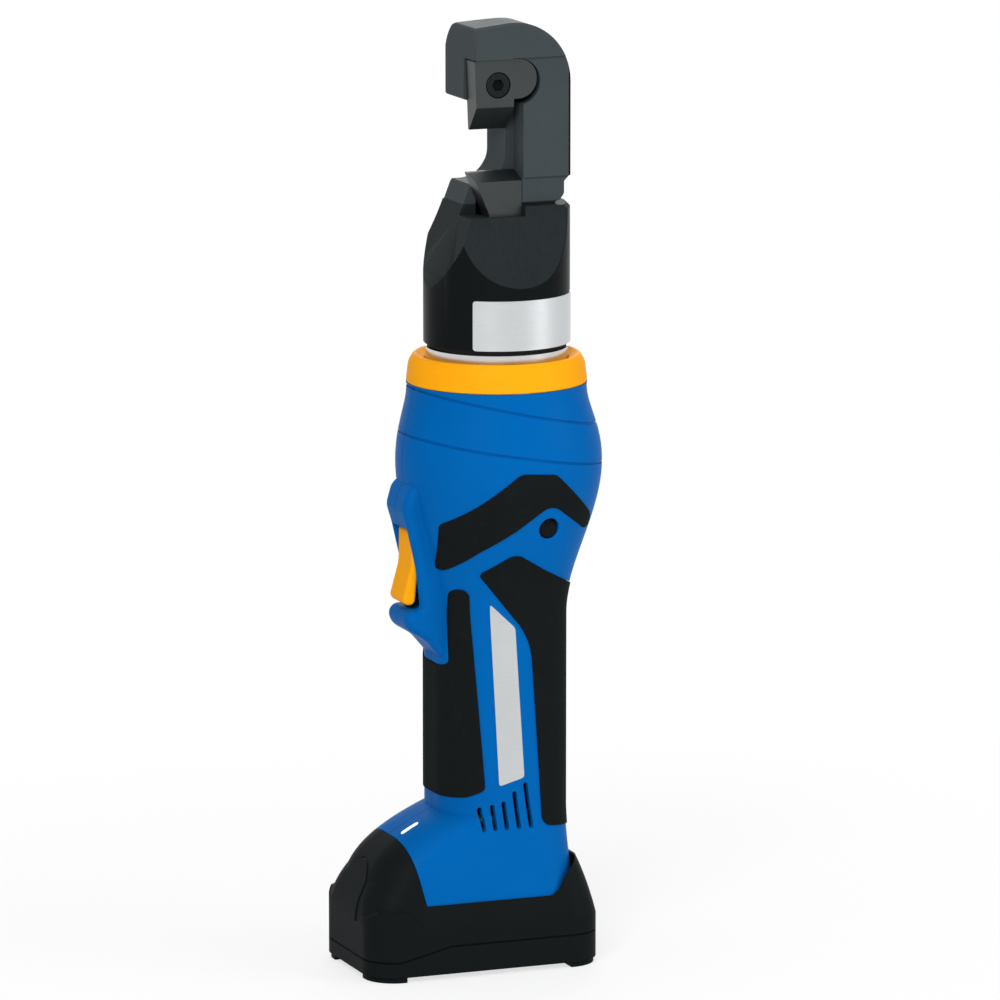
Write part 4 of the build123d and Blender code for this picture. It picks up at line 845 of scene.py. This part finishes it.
class CUTTER_OT_plates(bpy.types.Operator):
    """Lay the bare plates on the handle and round the head."""

    bl_idname = "cutter.plates"
    bl_label = "Bare plates"

    def execute(self, context):
        sizes = context.scene.cutter_sizes
        self.handle_plate(sizes)
        self.head_plate(sizes)
        return {"FINISHED"}

    def handle_plate(self, sizes):
        outline = [Vector((x * MM + AXIS_X, z * MM)) for x, z in HANDLE_PLATE]
        source = frame["nodes"]["housing_left"].data
        source.calc_loop_triangles()
        tree = BVHTree.FromPolygons(
            [v.co for v in source.vertices], [tuple(t.vertices) for t in source.loop_triangles])

        def place(x, z, lift):
            hit, normal, *_ = tree.ray_cast(Vector((x, NEAR_SIDE_Y, z)), Vector((0.0, 1.0, 0.0)))
            if hit is None:
                raise RuntimeError(f"the handle plate misses the housing at {x:.4f}, {z:.4f}")
            if normal.y > 0:
                normal = -normal
            return hit + normal * lift

        corners = rounded_corners(outline, sizes.plate_corner)
        mesh = conform(corners, place, sizes.plate, HANDLE_PLATE_GRID)
        settle("handle_plate", mesh, "housing", "bare_aluminium")

    def head_plate(self, sizes):
        start, end = (math.radians(turn) * TURNED_R for turn in HEAD_PLATE_TURN)
        low, high = (HEAD_LOW.z + rise for rise in HEAD_PLATE_RISE)
        outline = [Vector(at) for at in ((start, high), (end, high), (end, low), (start, low))]

        def place(arc, z, lift):
            turn, reach = arc / TURNED_R, TURNED_R + lift
            return Vector((AXIS_X - math.sin(turn) * reach, -math.cos(turn) * reach, z))

        corners = rounded_corners(outline, sizes.plate_corner)
        mesh = conform(corners, place, sizes.plate, HEAD_PLATE_GRID)
        settle("head_plate", mesh, "head", "bare_aluminium")


class CUTTER_OT_stage(bpy.types.Operator):
    """Set the floor, the lights and the camera."""

    bl_idname = "cutter.stage"
    bl_label = "Stage"

    def execute(self, context):
        self.floor(context.scene)
        self.world(context.scene)
        self.lamps(context.scene)
        self.camera(context.scene)
        context.scene.view_settings.view_transform = "Standard"
        return {"FINISHED"}

    def floor(self, scene):
        """White where it is seen, with the tool's shadow kept close to it."""
        half = scene.cutter_sizes.floor
        corners = [(-half, -half, 0.0), (half, -half, 0.0), (half, half, 0.0), (-half, half, 0.0)]
        mesh = bpy.data.meshes.new("floor")
        mesh.from_pydata(corners, [], [(0, 1, 2, 3)])
        base = scene.cutter_colours.floor
        finish = Finish("floor", roughness=0.9)
        finish.set(base_color=finish.mix(finish.noise(3.0), shade(base, 0.995), base))
        x, y, _ = finish.axes()
        away = ((x * x + y * y) ** 0.5).between(*SHADOW_REACH)
        share = finish.shown() * (SHADOW_WHITE + (1 - SHADOW_WHITE) * away)
        lit = Wire(finish, finish.shader.outputs[0])
        glow = finish.add("ShaderNodeEmission", None, {"Color": WHITE, "Strength": 1.0})
        blend = finish.add("ShaderNodeMixShader", None, {0: share, 1: lit, 2: glow})
        finish.plug(blend, finish.group.nodes["Material Output"].inputs["Surface"])
        mesh.materials.append(finish.material)
        floor = bpy.data.objects.new("floor", mesh)
        scene.collection.objects.link(floor)

    def world(self, scene):
        world = bpy.data.worlds.new("studio")
        scene.world = world
        world.use_nodes = True
        sky = Tree(world.node_tree)
        background = sky.group.nodes["Background"]
        sky.plug(WHITE, background.inputs["Color"])
        sky.plug(SKY_LIGHT + (1 - SKY_LIGHT) * sky.shown(), background.inputs["Strength"])

    def lamps(self, scene):
        for name, place, size, power in LAMPS:
            lamp = bpy.data.lights.new(name, "AREA")
            lamp.shape = "DISK"
            lamp.size = size
            lamp.energy = power
            light = bpy.data.objects.new(name, lamp)
            light.location = place
            light.rotation_euler = (LAMP_AIM - light.location).to_track_quat("-Z", "Y").to_euler()
            scene.collection.objects.link(light)

    def camera(self, scene):
        sine, cosine = math.sin(VIEW_AZIMUTH), math.cos(VIEW_AZIMUTH)
        level = math.cos(VIEW_ELEVATION)
        target = Vector((cosine, sine, 0.0)) * VIEW_RIGHT + Vector((0.0, 0.0, VIEW_UP))
        back = Vector((sine * level, -cosine * level, math.sin(VIEW_ELEVATION)))
        data = bpy.data.cameras.new("camera")
        data.sensor_width = VIEW_SENSOR
        data.lens = VIEW_LENS
        data.clip_end = VIEW_END
        camera = bpy.data.objects.new("camera", data)
        turn = back.to_track_quat("Z", "Y").to_matrix().to_4x4()
        camera.matrix_world = Matrix.Translation(target + back * VIEW_DISTANCE) @ turn
        scene.collection.objects.link(camera)
        scene.camera = camera


OPERATORS = (
    CUTTER_OT_housing, CUTTER_OT_grips, CUTTER_OT_collar, CUTTER_OT_head, CUTTER_OT_ram,
    CUTTER_OT_trigger, CUTTER_OT_drive, CUTTER_OT_pump, CUTTER_OT_electronics, CUTTER_OT_pack,
    CUTTER_OT_screws, CUTTER_OT_plates, CUTTER_OT_stage)


class CUTTER_PT_panel(bpy.types.Panel):
    """Lists the steps of the dressing."""

    bl_idname = "CUTTER_PT_panel"
    bl_label = "Bolt cutter"
    bl_space_type = "VIEW_3D"
    bl_region_type = "UI"
    bl_category = "Cutter"

    def draw(self, context):
        layout = self.layout
        for group in (context.scene.cutter_sizes, context.scene.cutter_colours):
            for key in group.__annotations__:
                layout.prop(group, key)
        for operator in OPERATORS:
            layout.operator(operator.bl_idname)


CLASSES = (CutterSizes, CutterColours, *OPERATORS, CUTTER_PT_panel)


def register():
    for cls in CLASSES:
        bpy.utils.register_class(cls)
    bpy.types.Scene.cutter_sizes = PointerProperty(type=CutterSizes)
    bpy.types.Scene.cutter_colours = PointerProperty(type=CutterColours)


def unregister():
    del bpy.types.Scene.cutter_sizes
    del bpy.types.Scene.cutter_colours
    for cls in reversed(CLASSES):
        bpy.utils.unregister_class(cls)


def main():
    register()
    for operator in OPERATORS:
        group, name = operator.bl_idname.split(".")
        getattr(getattr(bpy.ops, group), name)()


if __name__ == "__main__":
    main()
